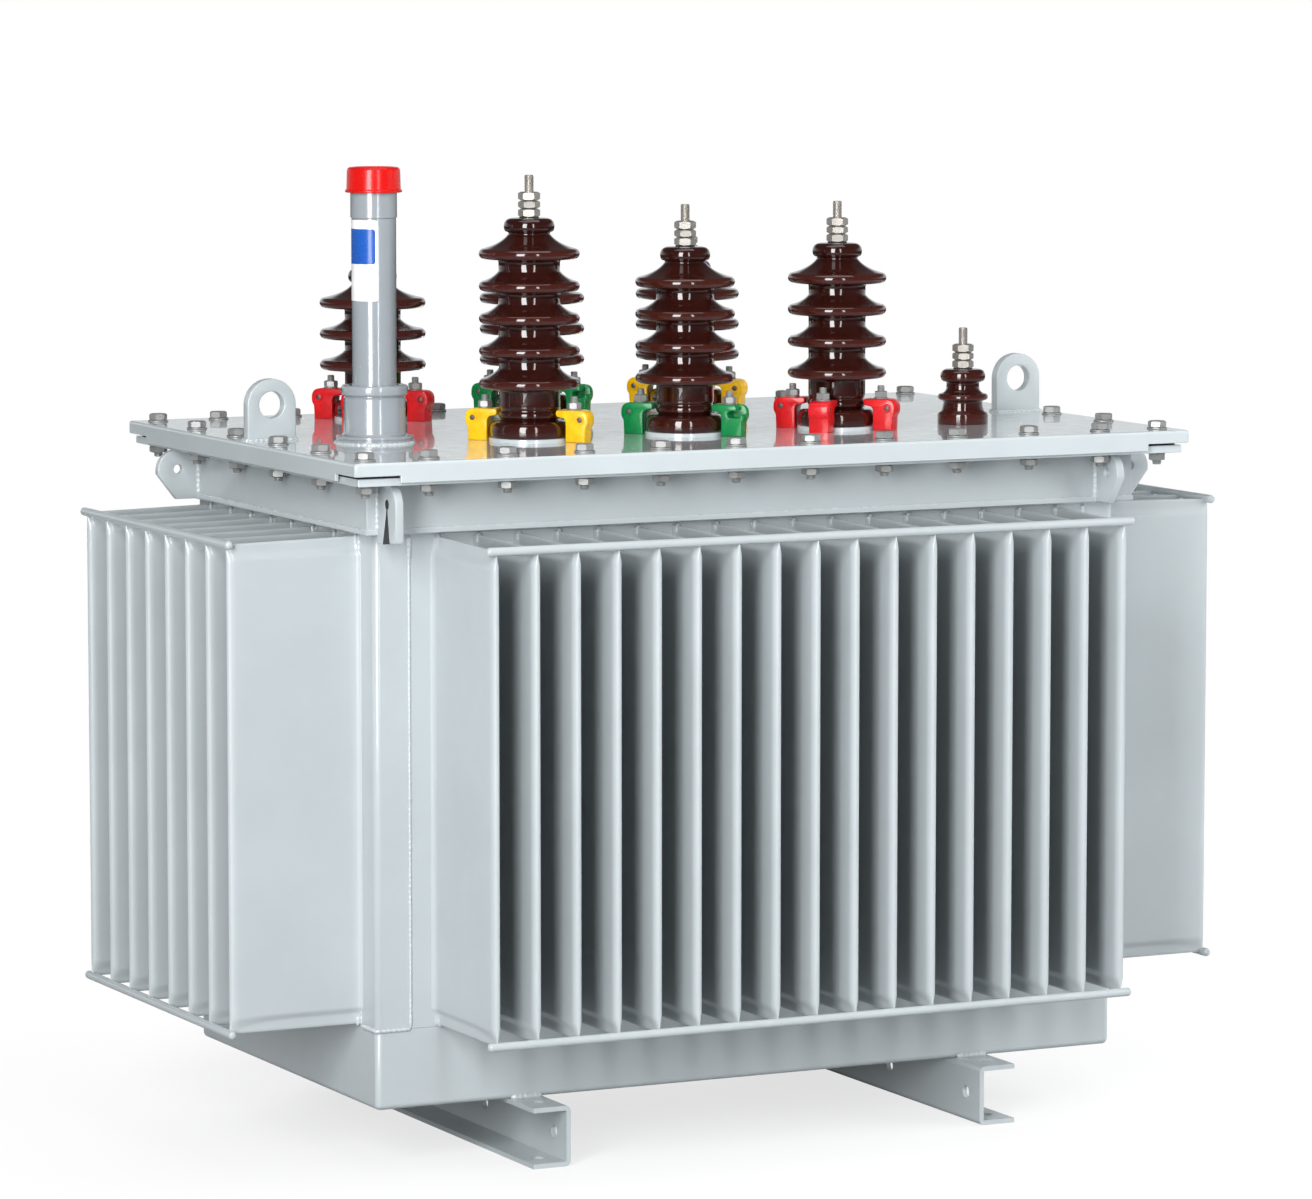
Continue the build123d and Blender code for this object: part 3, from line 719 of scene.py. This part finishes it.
def lug_part(outlines, inset=0.0, rounding=PLATE_ROUND):
    """A plate of a lug's thickness, less an inset, that stands out along -Y with its top at height 0."""
    verts, faces = standing(plate(outlines, lug_size()[2] - inset, rounding))
    return turned(verts, -90), faces


def lug_top(reach):
    """The rounded outer corner and the top of a lug's outline."""
    return round_arc((reach - LUG_TOP_R, -LUG_TOP_R), LUG_TOP_R, 0, 90, 10) + [(-1.0, 0)]


def plain_lug():
    reach, height, _ = lug_size()
    outline = [(-1.0, -height), (LUG_FOOT, -height), (reach, LUG_SLOPE_RISE - height)] + lug_top(reach)
    return lug_part([outline, round_hole((LUG_HOLE_OUT, -LUG_HOLE_DROP), LUG_HOLE_D)])


def slot_edge(low, grow):
    """The edge of a hole and its slot, made wider by grow on every side."""
    arc = round_arc((LUG_HOLE_OUT, -LUG_HOLE_DROP), LUG_HOLE_D / 2 + grow, 255, -75, 20)
    return [(SLOT_FROM - grow, low)] + arc + [(SLOT_TO + grow, low + SLOT_STEP)]


def slotted_lug():
    """A lug whose hole opens downwards through a tapered slot."""
    reach, height, _ = lug_size()
    low = -height - SLOT_LUG_DROP
    foot = low + SLOT_STEP
    outline = [(-1.0, low)] + slot_edge(low, 0)
    outline += [(reach - 4, foot), (reach - 1.2, foot + 1.2), (reach, foot + 4)]
    return lug_part([outline + lug_top(reach)])


def slot_shade_sheet():
    """A thin dark sheet inside the slotted lug's hole and slot: painted shade where the slot lies in
    shadow.
    """
    low = -lug_size()[1] - SLOT_LUG_DROP
    return lug_part([slot_edge(low, 0.2) + slot_edge(low, -0.5)[::-1]], 1.6, 0.1)


def lug_places():
    """Node, turn, place along the side and distance out of every lug, and whether it is slotted."""
    thick = lug_size()[2]
    low, high = box_mm("front_tie_lugs")
    near, far = low[0] + thick / 2, high[0] - thick / 2
    side_y = middle_mm("left_tie_lug")[1]
    places = []
    for side, turn in (("front", 0), ("back", 180)):
        for along, slotted in ((near, True), (far, False)):
            places.append((f"{side}_tie_lugs", turn, along, NECK_HIGH[1], slotted))
    for side, turn in (("left", -90), ("right", 90)):
        places.append((f"{side}_tie_lug", turn, -side_y, NECK_HIGH[0], False))
    return places


def make_lugs(welds, rng):
    parts = {True: slotted_lug(), False: plain_lug()}
    shade_sheet, shade_sheets = slot_shade_sheet(), Shape()
    thick, top = lug_size()[2], NECK_HIGH[2]
    shapes = {}
    for name, turn, x, out, slotted in lug_places():
        shape = shapes.setdefault(name, Shape())
        shape.add(moved(parts[slotted], (x, -out, top)), turn)
        if slotted:
            shade_sheets.add(moved(shade_sheet, (x, -out, top)), turn)
        for side in (-1, 1):
            foot = x + side * thick / 2
            line = [(foot, -out, top - drop) for drop in LUG_WELD]
            welds.add(bead(line, 3.0, rng), turn)
    # The dark sheet in each slot is painted shade.
    shade_sheets.piece("lug_slot_linings", "gasket_rubber", material=SLOT_PAINTED_SHADE)
    for name, shape in shapes.items():
        shape.piece(name.replace("tie_lug", "lug_plate"), "grey_paint", [name])


def make_eyes(welds, rng):
    for name in ("left_lifting_eye", "right_lifting_eye"):
        low, high = box_mm(name)
        half = (high[0] - low[0]) / 2
        rise = high[2] - low[2] - half
        thick = high[1] - low[1]
        outline = [(-half, -1.0), (half, -1.0)] + round_arc((0, rise), half, 0, 180, 28)
        hole = round_hole((0, rise), EYE_HOLE_D, 40)
        shape = Shape()
        middle = (low + high) / 2
        shape.add(standing(plate([outline, hole], thick, PLATE_ROUND)), 0, (middle[0], middle[1], low[2]))
        shape.piece(name.replace("lifting_eye", "eye_plate"), "grey_paint", [name])
        loop = np.array(rectangle(half, thick / 2, low[2])) + np.array((middle[0], middle[1], 0))
        welds.add(bead(loop, 2.4, rng, closed=True))


def make_filler(welds, rng):
    axis = middle_mm("filler_base")
    at = (axis[0], axis[1], LID_TOP)
    r = FILLER_FOOT_R
    base = [(30, -1), (r - 0.6, -1), (r, 0.6), (r, 3.2), (r - 0.8, 3.9), (r - 0.8, 4.5)]
    base += [(r, 5.2), (r, 7.2), (r - 0.7, 8), (35, 8.3)] + bend((35, 8.3), (32.2, 8.8), (32, 12), 5)
    base += [(32, 46.6), (31.2, 47.6), (30.6, 48.2), (30.6, 49.2), (33.4, 49.8), (34.3, 50.7), (34.5, 52)]
    base += [(34.5, 57.2), (34.2, 58.7), (33.4, 59.6)]
    base += [(31.5, FILLER_BASE_TOP), (PIPE_R - 1, FILLER_BASE_TOP)]
    foot, step = FILLER_BASE_TOP - 4, SLEEVE_LOW
    pipe = [(PIPE_R - 2, foot), (PIPE_R, foot), (PIPE_R, step - 0.8), (PIPE_R - 0.5, step - 0.2)]
    pipe += [(PIPE_R - 0.5, step), (SLEEVE_R - 0.4, step), (SLEEVE_R, step + 0.5)]
    pipe += [(SLEEVE_R, CAP_LOW), (SLEEVE_R - 2, CAP_LOW)]
    low, top = CAP_LOW, CAP_TOP
    cap = [(24, low + 0.6), (28.6, low), (29.3, low + 0.5), (29.5, low + 1.4), (29.3, low + 2.4)]
    cap += bend((29.3, low + 2.4), (28.1, low + 2.8), (28.0, low + 4.5), 4)
    cap += [(27.5, top - 4.2)] + bend((27.5, top - 4.2), (27.3, top), (23.4, top), 8)
    cap += bend((23.4, top), (21.2, top), (20.8, top - 1.6), 5) + [(20.4, top - 3), (17, top - 3.2)]
    for name, profile, slot, stands_for, material in (
        ("filler_socket", base, "grey_paint", "filler_base", PIPE_ENAMEL_PAINTED_SHADE),
        ("filler_tube", pipe, "grey_paint", "filler_pipe", PIPE_ENAMEL_PAINTED_SHADE),
        ("filler_screw_cap", cap, "red_cap", "filler_cap", None),
    ):
        shape = Shape()
        shape.add(lathe(profile), 0, at)
        shape.piece(name, slot, [stands_for], material)
    ring = circle(FILLER_FOOT_R, LID_TOP, 60) + np.array((axis[0], axis[1], 0))
    welds.add(bead(ring, 2.2, rng, closed=True))
    make_label(at)


def wrap(radius, angle_from, angle_to, low, high, thick, corner=LABEL_CORNER):
    """A thin sheet with rounded corners, wrapped round the Z axis."""
    width = math.radians(angle_to - angle_from) * radius
    outline = []
    for x, z, start in ((width - corner, low + corner, -90), (width - corner, high - corner, 0),
                        (corner, high - corner, 90), (corner, low + corner, 180)):
        outline += round_arc((x, z), corner, start, start + 90, 5)
    cuts = np.linspace(corner, width - corner, 24)
    lower = [(x, low) for x in cuts[1:-1]]
    upper = [(x, high) for x in cuts[-2:0:-1]]
    outline = outline[:12] + upper + outline[12:] + lower
    rings = []
    for r in (radius, radius + thick):
        angles = [math.radians(angle_from) + x / radius for x, _ in outline]
        rings.append(np.array([(r * math.cos(a), r * math.sin(a), p[1]) for a, p in zip(angles, outline)]))
    return wrap_faces(rings, len(outline))


def wrap_faces(rings, count):
    """Faces of a wrapped sheet: strips between its lower and upper edge on both faces, and its rim."""
    verts, faces = skin(rings)
    faces = faces[2:]
    order = sorted(range(count), key=lambda i: math.atan2(rings[0][i][1], rings[0][i][0]) % TAU)
    middle = (rings[0][:, 2].min() + rings[0][:, 2].max()) / 2
    lower = [i for i in order if rings[0][i][2] < middle]
    upper = [i for i in order if rings[0][i][2] >= middle]
    for base in (0, count):
        for a, b, c, d in zip(lower, lower[1:], upper[1:], upper):
            faces.append((base + a, base + b, base + c, base + d))
    return verts, faces


def make_label(at):
    """A plain white label with a plain blue panel."""
    shape = Shape()
    low = LABEL_TOP - LABEL_HEIGHT
    shape.add(wrap(PIPE_R - 0.05, LABEL_FROM, LABEL_TO, low, LABEL_TOP, LABEL_LIFT), 0, at)
    shape.piece("pipe_label", material=LABEL_WHITE)
    shape = Shape()
    top = LABEL_TOP - PANEL_DROP
    low = top - PANEL_HEIGHT
    shape.add(wrap(PIPE_R + LABEL_LIFT - 0.1, PANEL_FROM, PANEL_TO, low, top, PANEL_THICK), 0, at)
    shape.piece("pipe_label_panel", material=PANEL_BLUE)


def porcelain(sheds, rim, core):
    """Profile of a large bushing, heights from its seat."""
    points = [(30, -2), (39.4, -2), (40.4, -1), (41.1, 2), (41.3, 5), (41, 8.5)]
    points += bend((41, 8.5), (39.8, 14.8), (34, 15.6), 6)
    points += bend((34, 15.6), (core - 2.2, 15.9), (core - 2.4, 17), 4)
    points += bend((core - 2.4, 17), (core - 0.6, 17.4), (core + 0.2, 19.6), 4)
    points += bend((core + 0.2, 19.6), (core + 1.3, 22.6), (core - 0.8, 25.2), 6)
    points += bend((core - 0.8, 25.2), (core - 1.8, 26.4), (core - 1.0, 27.6), 4)
    points += bend((core - 1.0, 27.6), (core, 28.6), (core, 31), 4)
    for i in range(sheds):
        level = FIRST_SHED + i * SHED_PITCH
        points += [(core, level - 9.5)]
        points += bend((core, level - 9.5), (core + 0.2, level - 5.8), (core + 5, level - 5.3), 5)
        points += [(rim - 10, level - 5.2)]
        points += round_arc((rim - 5.4, level), 5.4, -92, 62, 16)
        start = points[-1]
        if i == sheds - 1:
            points += bend(start, (28.5, level + 10.2), (21.4, level + 20.6), 14)
        else:
            points += bend(start, (core + 6.5, level + 7.6), (core, level + 15.5), 12)
    top = FIRST_SHED + (sheds - 1) * SHED_PITCH + 21
    points += bend((21.4, top - 0.4), (21.3, top + 0.7), (22.6, top + 1.0), 4)
    points += bend((22.6, top + 1.0), (26.2, top + 2.0), (26.2, top + 7), 6)
    points += bend((26.2, top + 7), (26.2, top + 13.8), (20, top + 15.4), 8)
    points += bend((20, top + 15.4), (16, top + 16), (12, top + 16), 4)
    return points


def small_porcelain():
    """Profile of the small bushing, heights from the lid."""
    points = [(20, -1), (26.4, -1), (27.2, 0.8), (27.2, 9)] + bend((27.2, 9), (27, 12.4), (24.8, 12.8), 6)
    points += bend((24.8, 12.8), (23.2, 13.2), (22.6, 15), 4) + [(20.8, 22)]
    points += bend((20.8, 22), (20.6, 24.8), (23.2, 25.2), 4)
    points += round_arc((23.5, 29), 3.5, -90, 90, 10)
    points += bend((23.5, 32.5), (18.6, 33.4), (17.5, 39), 7) + [(17.5, 43)]
    points += bend((17.5, 43), (17.5, 45), (20, 45.3), 4)
    points += bend((20, 45.3), (24, 46), (24, 51), 6)
    points += bend((24, 51), (24, 57.6), (18, 58.7), 8) + [(11, 59)]
    return points


def paint_rims(piece, axis, profile):
    """Store on each vertex how far it stands out between the core and the rims."""
    radii = [r for r, _ in profile]
    low, high = min(radii), max(radii)
    layer = piece.data.attributes.new("rim", "FLOAT", "POINT")
    for vertex, value in zip(piece.data.vertices, layer.data):
        r = math.hypot(vertex.co.x / MM - axis[0], vertex.co.y / MM - axis[1])
        value.value = ((r - low) / (high - low)) ** 2


def glazed(name, profile, seat, steps):
    """A bushing's porcelain on its own axis."""
    axis = middle_mm(f"{name}_bushing")
    shape = Shape()
    shape.add(lathe(profile, steps), 0, (axis[0], axis[1], seat))
    piece = shape.piece(f"{name}_porcelain", "brown_porcelain", [f"{name}_bushing"], sharp=50)
    paint_rims(piece, axis, profile)


def make_bushings():
    for name, sheds in SHED_COUNT.items():
        low, high = box_mm(f"{name}_bushing")
        rim = (high[0] - low[0]) / 2 + RIM_SWELL
        glazed(name, porcelain(sheds, rim, CORE_R.get(name, CORE_PLAIN_R)), SEAT, 96)
    glazed("neutral", small_porcelain(), LID_TOP, 80)


def terminal():
    """A stud with its three nuts, from the porcelain's top."""
    shape = Shape()
    for low, high, turn in NUT_STACK:
        shape.add(hexagon(NUT_FLATS, low, high, turn, 0.9))
    shape.add(thread(STUD_D, STUD_PITCH, 0.2, STUD_TOP, 28))
    return shape.part()


def make_terminals():
    stud = terminal()
    seals = Shape()
    seal = lathe([(6, -0.5), (10.0, -0.5), (10.3, -0.1), (10.3, 0.4), (10.0, 0.8), (6, 0.8)], 40)
    for row, ending in (("front", "s"), ("back", "s"), ("neutral", "")):
        shape = Shape()
        for name in [*SHED_COUNT, "neutral"]:
            if name.startswith(row):
                low, high = box_mm(f"{name}_bushing")
                axis = (low + high) / 2
                shape.add(stud, 0, (axis[0], axis[1], high[2]))
                seals.add(seal, 0, (axis[0], axis[1], high[2]))
        shape.piece(f"{row}_stud_stack{ending}", "plated_steel", [f"{row}_terminal{ending}"])
    seals.piece("stud_seals", "gasket_rubber")


def clamp_outline(heel):
    """A clamp's outline from its heel round its nose and throat."""
    top = CLAMP_HEIGHT
    nose = [(34, top), (32.6, top - 1.4), (32.4, top - 4.6), (33.8, top - 6.6)]
    throat = [(39, top - 7.6)] + bend((39, top - 7.6), (42.8, top - 8.2), (43.2, top - 13), 6)
    return heel + nose + throat


def clamp(notch):
    """A cast clamp along +X: a boss on its left cheek, and a boss or a notched heel on its right."""
    top = CLAMP_HEIGHT
    solid = [(43.2, 0), (64.2, 0), (64.8, 14)] + bend((64.8, 14), (65.2, 15.6), (66.4, 17), 3)
    solid += [(67.4, 20), (67.4, top - 9)] + bend((67.4, top - 9), (67, top), (57.5, top), 8)
    notched = [(43.2, 0), (66, 0), (66, 16.5), (67.4, 17.2), (67.4, 21.5), (66.4, 23), (64.6, 23)]
    notched += [(63.2, 20.8)] + bend((63.2, 20.8), (62, 19.4), (58, 19.4), 4) + [(53.5, 19.4)]
    notched += bend((53.5, 19.4), (50.5, 19.4), (50.5, 22.5), 4)
    notched += bend((50.5, 22.5), (50.5, 26.4), (54, 26.6), 4)
    notched += [(59.6, 26.8)] + bend((59.6, 26.8), (61.6, top), (54, top), 8)
    layers = [(solid, CLAMP_WIDTH, 0.0)]
    if notch:
        layers = [(solid, CLAMP_CHEEK, (CLAMP_WIDTH - CLAMP_CHEEK) / 2)]
        layers.append((notched, CLAMP_WIDTH - CLAMP_CHEEK + 1.5, -(CLAMP_CHEEK - 1.5) / 2))
    shape = Shape()
    for heel, thick, offset in layers:
        shape.add(standing(plate([clamp_outline(heel)], thick, 1.2)), 0, (0, offset, 0))
    boss = [(2.0, -1), (4.7, -1), (4.7, 0.5), (4.3, 1), (3.1, 1), (2.8, 0.3), (2, 0.2)]
    for side in (1,) if notch else (1, -1):
        shape.add(cross_pin(boss, side))
    return shape.part()


def cross_pin(profile, side):
    """A turned part on a clamp's cheek, from its radius and how far it stands out."""
    verts, faces = lathe(profile, 28)
    out = side * (verts[:, 2] + CLAMP_WIDTH / 2)
    return np.column_stack([verts[:, 0] + BOSS_R, out, verts[:, 1] + BOSS_RISE]), faces


def clamp_stud():
    """Washer, nut and stud end over a clamp, from the clamp's top."""
    shape = Shape()
    shape.add(washer(CLAMP_WASHER_D, 0, CLAMP_WASHER_H))
    shape.add(hexagon(CLAMP_NUT_FLATS, CLAMP_WASHER_H, CLAMP_NUT_H + 1.0))
    shape.add(thread(CLAMP_STUD_D, CLAMP_STUD_PITCH, CLAMP_NUT_H - 0.5, CLAMP_STUD_TOP, 16))
    return shape.part()


def make_clamps():
    rng = random.Random(23)
    bodies, stud = {True: clamp(True), False: clamp(False)}, clamp_stud()
    pin = [(1.2, -0.6), (2.7, -0.6), (2.7, 0.5), (2.2, 0.8), (1.0, 0.8)]
    studs, pins = Shape(), Shape()
    shapes = {colour: Shape() for colour in ("yellow", "green", "red")}
    for name, colour in CLAMP_COLOUR.items():
        axis = middle_mm(f"{name}_bushing")
        notch = colour == "green"
        for angle in OPEN_CLAMP_ANGLES if name in THREE_CLAMPS else CLAMP_ANGLES:
            shapes[colour].add(bodies[notch], angle, (axis[0], axis[1], LID_TOP))
            for side in (1,) if notch else (1, -1):
                pins.add(cross_pin(pin, side), angle, (axis[0], axis[1], LID_TOP))
            out = turned([(CLAMP_STUD_R, 0, LID_TOP + CLAMP_HEIGHT)], angle)[0]
            studs.add(stud, rng.uniform(0, 60), out + np.array((axis[0], axis[1], 0)))
    for colour, shape in shapes.items():
        shape.piece(f"{colour}_cast_clamps", f"{colour}_paint", [f"{colour}_clamps"])
    studs.piece("clamp_nuts", "plated_steel", ["clamp_studs"], BOLT_ZINC)
    pins.piece("clamp_pins", "plated_steel", material=DARK_STEEL)


def make_rings():
    """Flat rings under the large bushings."""
    shape = Shape()
    r, top = RING_R, RING_H - 2.0
    ring = [(30, 0), (r, 0), (r, top - 0.8), (r - 0.3, top - 0.2), (r - 0.9, top), (30, top)]
    for name in SHED_COUNT:
        axis = middle_mm(f"{name}_bushing")
        shape.add(lathe(ring, 72), 0, (axis[0], axis[1], LID_TOP))
    shape.piece("bushing_seats", "grey_paint", ["bushing_rings"], LID_ENAMEL_PAINTED_LIGHT)


def rectangle(half_x, half_y, z):
    """Corners of a level rectangle about the middle."""
    return [(-half_x, -half_y, z), (half_x, -half_y, z), (half_x, half_y, z), (-half_x, half_y, z)]


def make_frame_welds(welds, rng):
    """Beads round the neck, along the posts, on the pan and where the fins meet the wall."""
    half_x, half_y = PAN_HIGH[0], PAN_HIGH[1]
    wall_top, pan_top = NECK_LOW[2], PAN_HIGH[2]
    welds.add(bead(rectangle(half_x, half_y, wall_top - 0.5), 1.8, rng, closed=True, rough=0.08))
    welds.add(bead(rectangle(*NECK_HIGH[:2], wall_top + LIP_H), 1.3, rng, closed=True, rough=0.06))
    legs = (half_x - POST_LEG, half_y), (half_x, half_y - POST_LEG)
    for sx in (-1, 1):
        for sy in (-1, 1):
            corner = [(sx * x, sy * y, pan_top) for x, y in (legs[0], (half_x, half_y), legs[1])]
            welds.add(bead(corner, 2.4, rng))
            for x, y in legs:
                seam = [(sx * x, sy * y, pan_top + 1), (sx * x, sy * y, wall_top - 3)]
                welds.add(bead(seam, 1.5, rng))
                cap = [(sx * x, sy * y, wall_top - 3), (sx * x, sy * y, wall_top - 27)]
                welds.add(bead(cap, 2.7, rng, rough=0.24))
    for side, turn in SIDE_TURN.items():
        _, near, _, low, high = side_frame(side)
        for x in fin_places(side):
            for level, inward in ((low, 1), (high + FIN_ROOT_RISE, -1)):
                line = [(x, -near - 2.2, level - inward * 2.4), (x, -near - 1.4, level + inward * 11)]
                welds.add(bead(line, 3.1, rng, rough=0.1), turn)
    for skid in ("left_skid", "right_skid"):
        low, high = box_mm(skid)
        for sy in (-1, 1):
            y = sy * (half_y - 2)
            ends = (low[0] + 2, high[0] - 5) if skid == "left_skid" else (low[0] + 5, high[0] - 2)
            welds.add(bead([(x, y, PAN_LOW[2] + 1.6) for x in ends], 4.0, rng, rough=0.16))


def hoop(half_x, half_y, section):
    """A closed band round a rectangle, from its section of distance out and height."""
    rings = [np.array(rectangle(half_x + out, half_y + out, z), float) for out, z in section]
    verts, faces = skin(rings + [rings[0]])
    last = len(section) * 4
    faces = [[i % last for i in face] for face in faces[2:]]
    return verts[:last], faces


def make_lip():
    """The ledge's edge, which stands a little proud of the neck's foot."""
    low = NECK_LOW[2]
    section = [(-2, 0.3), (0.9, 0.3), (1.5, 0.9), (1.5, LIP_H - 0.8), (0.9, LIP_H), (-2, LIP_H)]
    shape = Shape()
    shape.add(hoop(*NECK_HIGH[:2], [(out, low + z) for out, z in section]))
    shape.piece("neck_lip", "grey_paint")


def make_welds():
    rng = random.Random(3)
    welds = Shape()
    make_lugs(welds, rng)
    make_eyes(welds, rng)
    make_filler(welds, rng)
    make_frame_welds(welds, rng)
    welds.piece("weld_beads", "grey_paint", material=WELD_ENAMEL_PAINTED_HIGHLIGHT, sharp=80)


PLAIN_NODES = ("left_skid", "right_skid")
SOFT_EDGE = 0.9
SOFT_ANGLE = 40


def finish_cad_nodes():
    """Give every CAD node that still shows its finish, and all but the skids softened edges."""
    slots = {row["node"]: row["material_slot"] for row in frame["record"]["subparts"]}
    for name, cad in frame["nodes"].items():
        if cad.hide_render:
            continue
        material = LID_ENAMEL_PAINTED_LIGHT if name in ("lid", "top_flange") else MATERIALS[slots[name]]
        if cad.material_slots:
            for holder in cad.material_slots:
                holder.material = material
        else:
            cad.data.materials.append(material)
        if name in PLAIN_NODES:
            continue
        weld = cad.modifiers.new("weld", "WELD")
        weld.merge_threshold = 1e-5
        soft = cad.modifiers.new("soften", "BEVEL")
        soft.width = SOFT_EDGE * MM
        soft.segments = 2
        soft.limit_method = "ANGLE"
        soft.angle_limit = math.radians(SOFT_ANGLE)
        soft.harden_normals = True


# Stage, in metres
FLOOR_REACH = 30.0
LIGHTS_AIM = (0, 0, 0.75)


def seen_rays(tree):
    """One on rays straight from the camera or through glass; and Light Path's number for glossy rays."""
    path = node(tree, "ShaderNodeLightPath").outputs
    return maths(tree, "MAXIMUM", path["Is Camera Ray"], path["Is Transmission Ray"]), path["Is Glossy Ray"]


def make_floor():
    """A pale floor that keeps the shadow near the object and fades to white further out."""
    mesh = bpy.data.meshes.new("floor")
    mesh.from_pydata(rectangle(FLOOR_REACH, FLOOR_REACH, 0), [], [(0, 1, 2, 3)])
    floor = put("floor", mesh)
    material = bpy.data.materials.new("pale_floor")
    material.use_nodes = True
    tree = material.node_tree
    tree.nodes.clear()
    place = node(tree, "ShaderNodeNewGeometry").outputs["Position"]
    distance = node(tree, "ShaderNodeVectorMath", {"operation": "LENGTH"}, i0=place).outputs["Value"]
    fade = ramp(tree, distance, 0.3, 1.15, 0.72, 1.0, "SMOOTHSTEP")
    seen, _ = seen_rays(tree)
    tone = blend(tree, seen, (0.36, 0.37, 0.38, 1), (0.9, 0.9, 0.9, 1))
    cloth = node(tree, "ShaderNodeBsdfDiffuse", Color=tone)
    white = node(tree, "ShaderNodeEmission", Color=(1, 1, 1, 1), Strength=1.0)
    share = maths(tree, "MULTIPLY", fade, seen)
    mix = node(tree, "ShaderNodeMixShader", i0=share, i1=cloth.outputs[0], i2=white.outputs[0])
    out = node(tree, "ShaderNodeOutputMaterial")
    tree.links.new(mix.outputs[0], out.inputs["Surface"])
    mesh.materials.append(material)


def make_world():
    """White to the eye; reflections see a pale band round the horizon, brightest behind the object."""
    world = bpy.data.worlds.new("studio")
    bpy.context.scene.world = world
    world.use_nodes = True
    tree = world.node_tree
    tree.nodes.clear()
    seen, glossy_ray = seen_rays(tree)
    white = node(tree, "ShaderNodeBackground", Color=(1, 1, 1, 1), Strength=1.0)
    way = node(tree, "ShaderNodeTexCoord").outputs["Generated"]
    turn = math.radians(CAMERA_TURN)
    front = (-math.sin(turn), -math.cos(turn), 0.0)
    towards = node(tree, "ShaderNodeVectorMath", {"operation": "DOT_PRODUCT"}, i0=way, i1=front)
    sector = ramp(tree, towards.outputs["Value"], -0.8, 0.2, 0.66, 0.07, "SMOOTHSTEP")
    rise = node(tree, "ShaderNodeSeparateXYZ", Vector=way).outputs["Z"]
    band = ramp(tree, rise, 0.17, 0.36, 1.0, 0.0, "SMOOTHSTEP")
    glow = maths(tree, "MULTIPLY_ADD", sector, band, 0.07)
    studio = node(tree, "ShaderNodeBackground", Color=(0.95, 0.985, 1, 1), Strength=glow)
    fill = node(tree, "ShaderNodeBackground", Color=(0.97, 0.985, 1, 1), Strength=0.075)
    glossy = node(tree, "ShaderNodeMixShader", i0=glossy_ray, i1=fill.outputs[0], i2=studio.outputs[0])
    mix = node(tree, "ShaderNodeMixShader", i0=seen, i1=glossy.outputs[0], i2=white.outputs[0])
    out = node(tree, "ShaderNodeOutputWorld")
    tree.links.new(mix.outputs[0], out.inputs["Surface"])


def soft_light(name, width, height, watts, at):
    """A rectangular light that faces down and isn't seen itself."""
    light = bpy.data.lights.new(name, "AREA")
    light.shape = "RECTANGLE"
    light.size = width
    light.size_y = height
    light.energy = watts
    lamp = put(name, light)
    lamp.location = at
    lamp.visible_camera = False
    return lamp


def softbox(name, azimuth, distance, low, high, width, watts, mirrored=True):
    """An upright soft light; azimuth runs from the photograph's camera, positive to its right."""
    turn = math.radians(CAMERA_TURN - azimuth)
    at = (-math.sin(turn) * distance, -math.cos(turn) * distance, (low + high) / 2)
    lamp = soft_light(name, width, high - low, watts, at)
    aim = Vector(LIGHTS_AIM) - lamp.location
    lamp.rotation_euler = aim.to_track_quat("-Z", "Y").to_euler()
    lamp.visible_glossy = mirrored


def make_lights():
    softbox("left_strip", -19.5, 5.0, 0.1, 4.1, 1.55, 335)
    softbox("right_strip", 17.5, 3.0, 0.5, 2.7, 0.3, 22)
    softbox("right_front", 77, 2.9, 0.2, 2.6, 1.0, 52, mirrored=False)
    softbox("left_bank", -95, 3.0, 0.3, 2.6, 0.9, 6, mirrored=False)
    softbox("right_bank", 108, 3.0, 0.2, 2.0, 0.9, 40, mirrored=False)
    softbox("back_bank", 178, 3.4, 0.1, 1.9, 1.6, 150, mirrored=False)
    soft_light("top_bank", 2.4, 1.8, 27, (-0.2, -0.3, 3.4))


def make_camera():
    data = bpy.data.cameras.new("camera")
    data.sensor_width = SENSOR
    data.lens = SENSOR * FOCAL_PIXELS / PHOTO_WIDTH
    data.clip_end = 100
    camera = put("camera", data)
    camera.location = CAMERA_AT
    camera.rotation_euler = (math.radians(90 - CAMERA_DOWN), 0, math.radians(-CAMERA_TURN))
    bpy.context.scene.camera = camera


make_camera()
make_fins()
make_rods()
make_bolts()
make_bushings()
make_rings()
make_terminals()
make_clamps()
make_welds()
make_lip()
finish_cad_nodes()
make_floor()
make_world()
make_lights()
bpy.context.scene.view_settings.view_transform = "Standard"
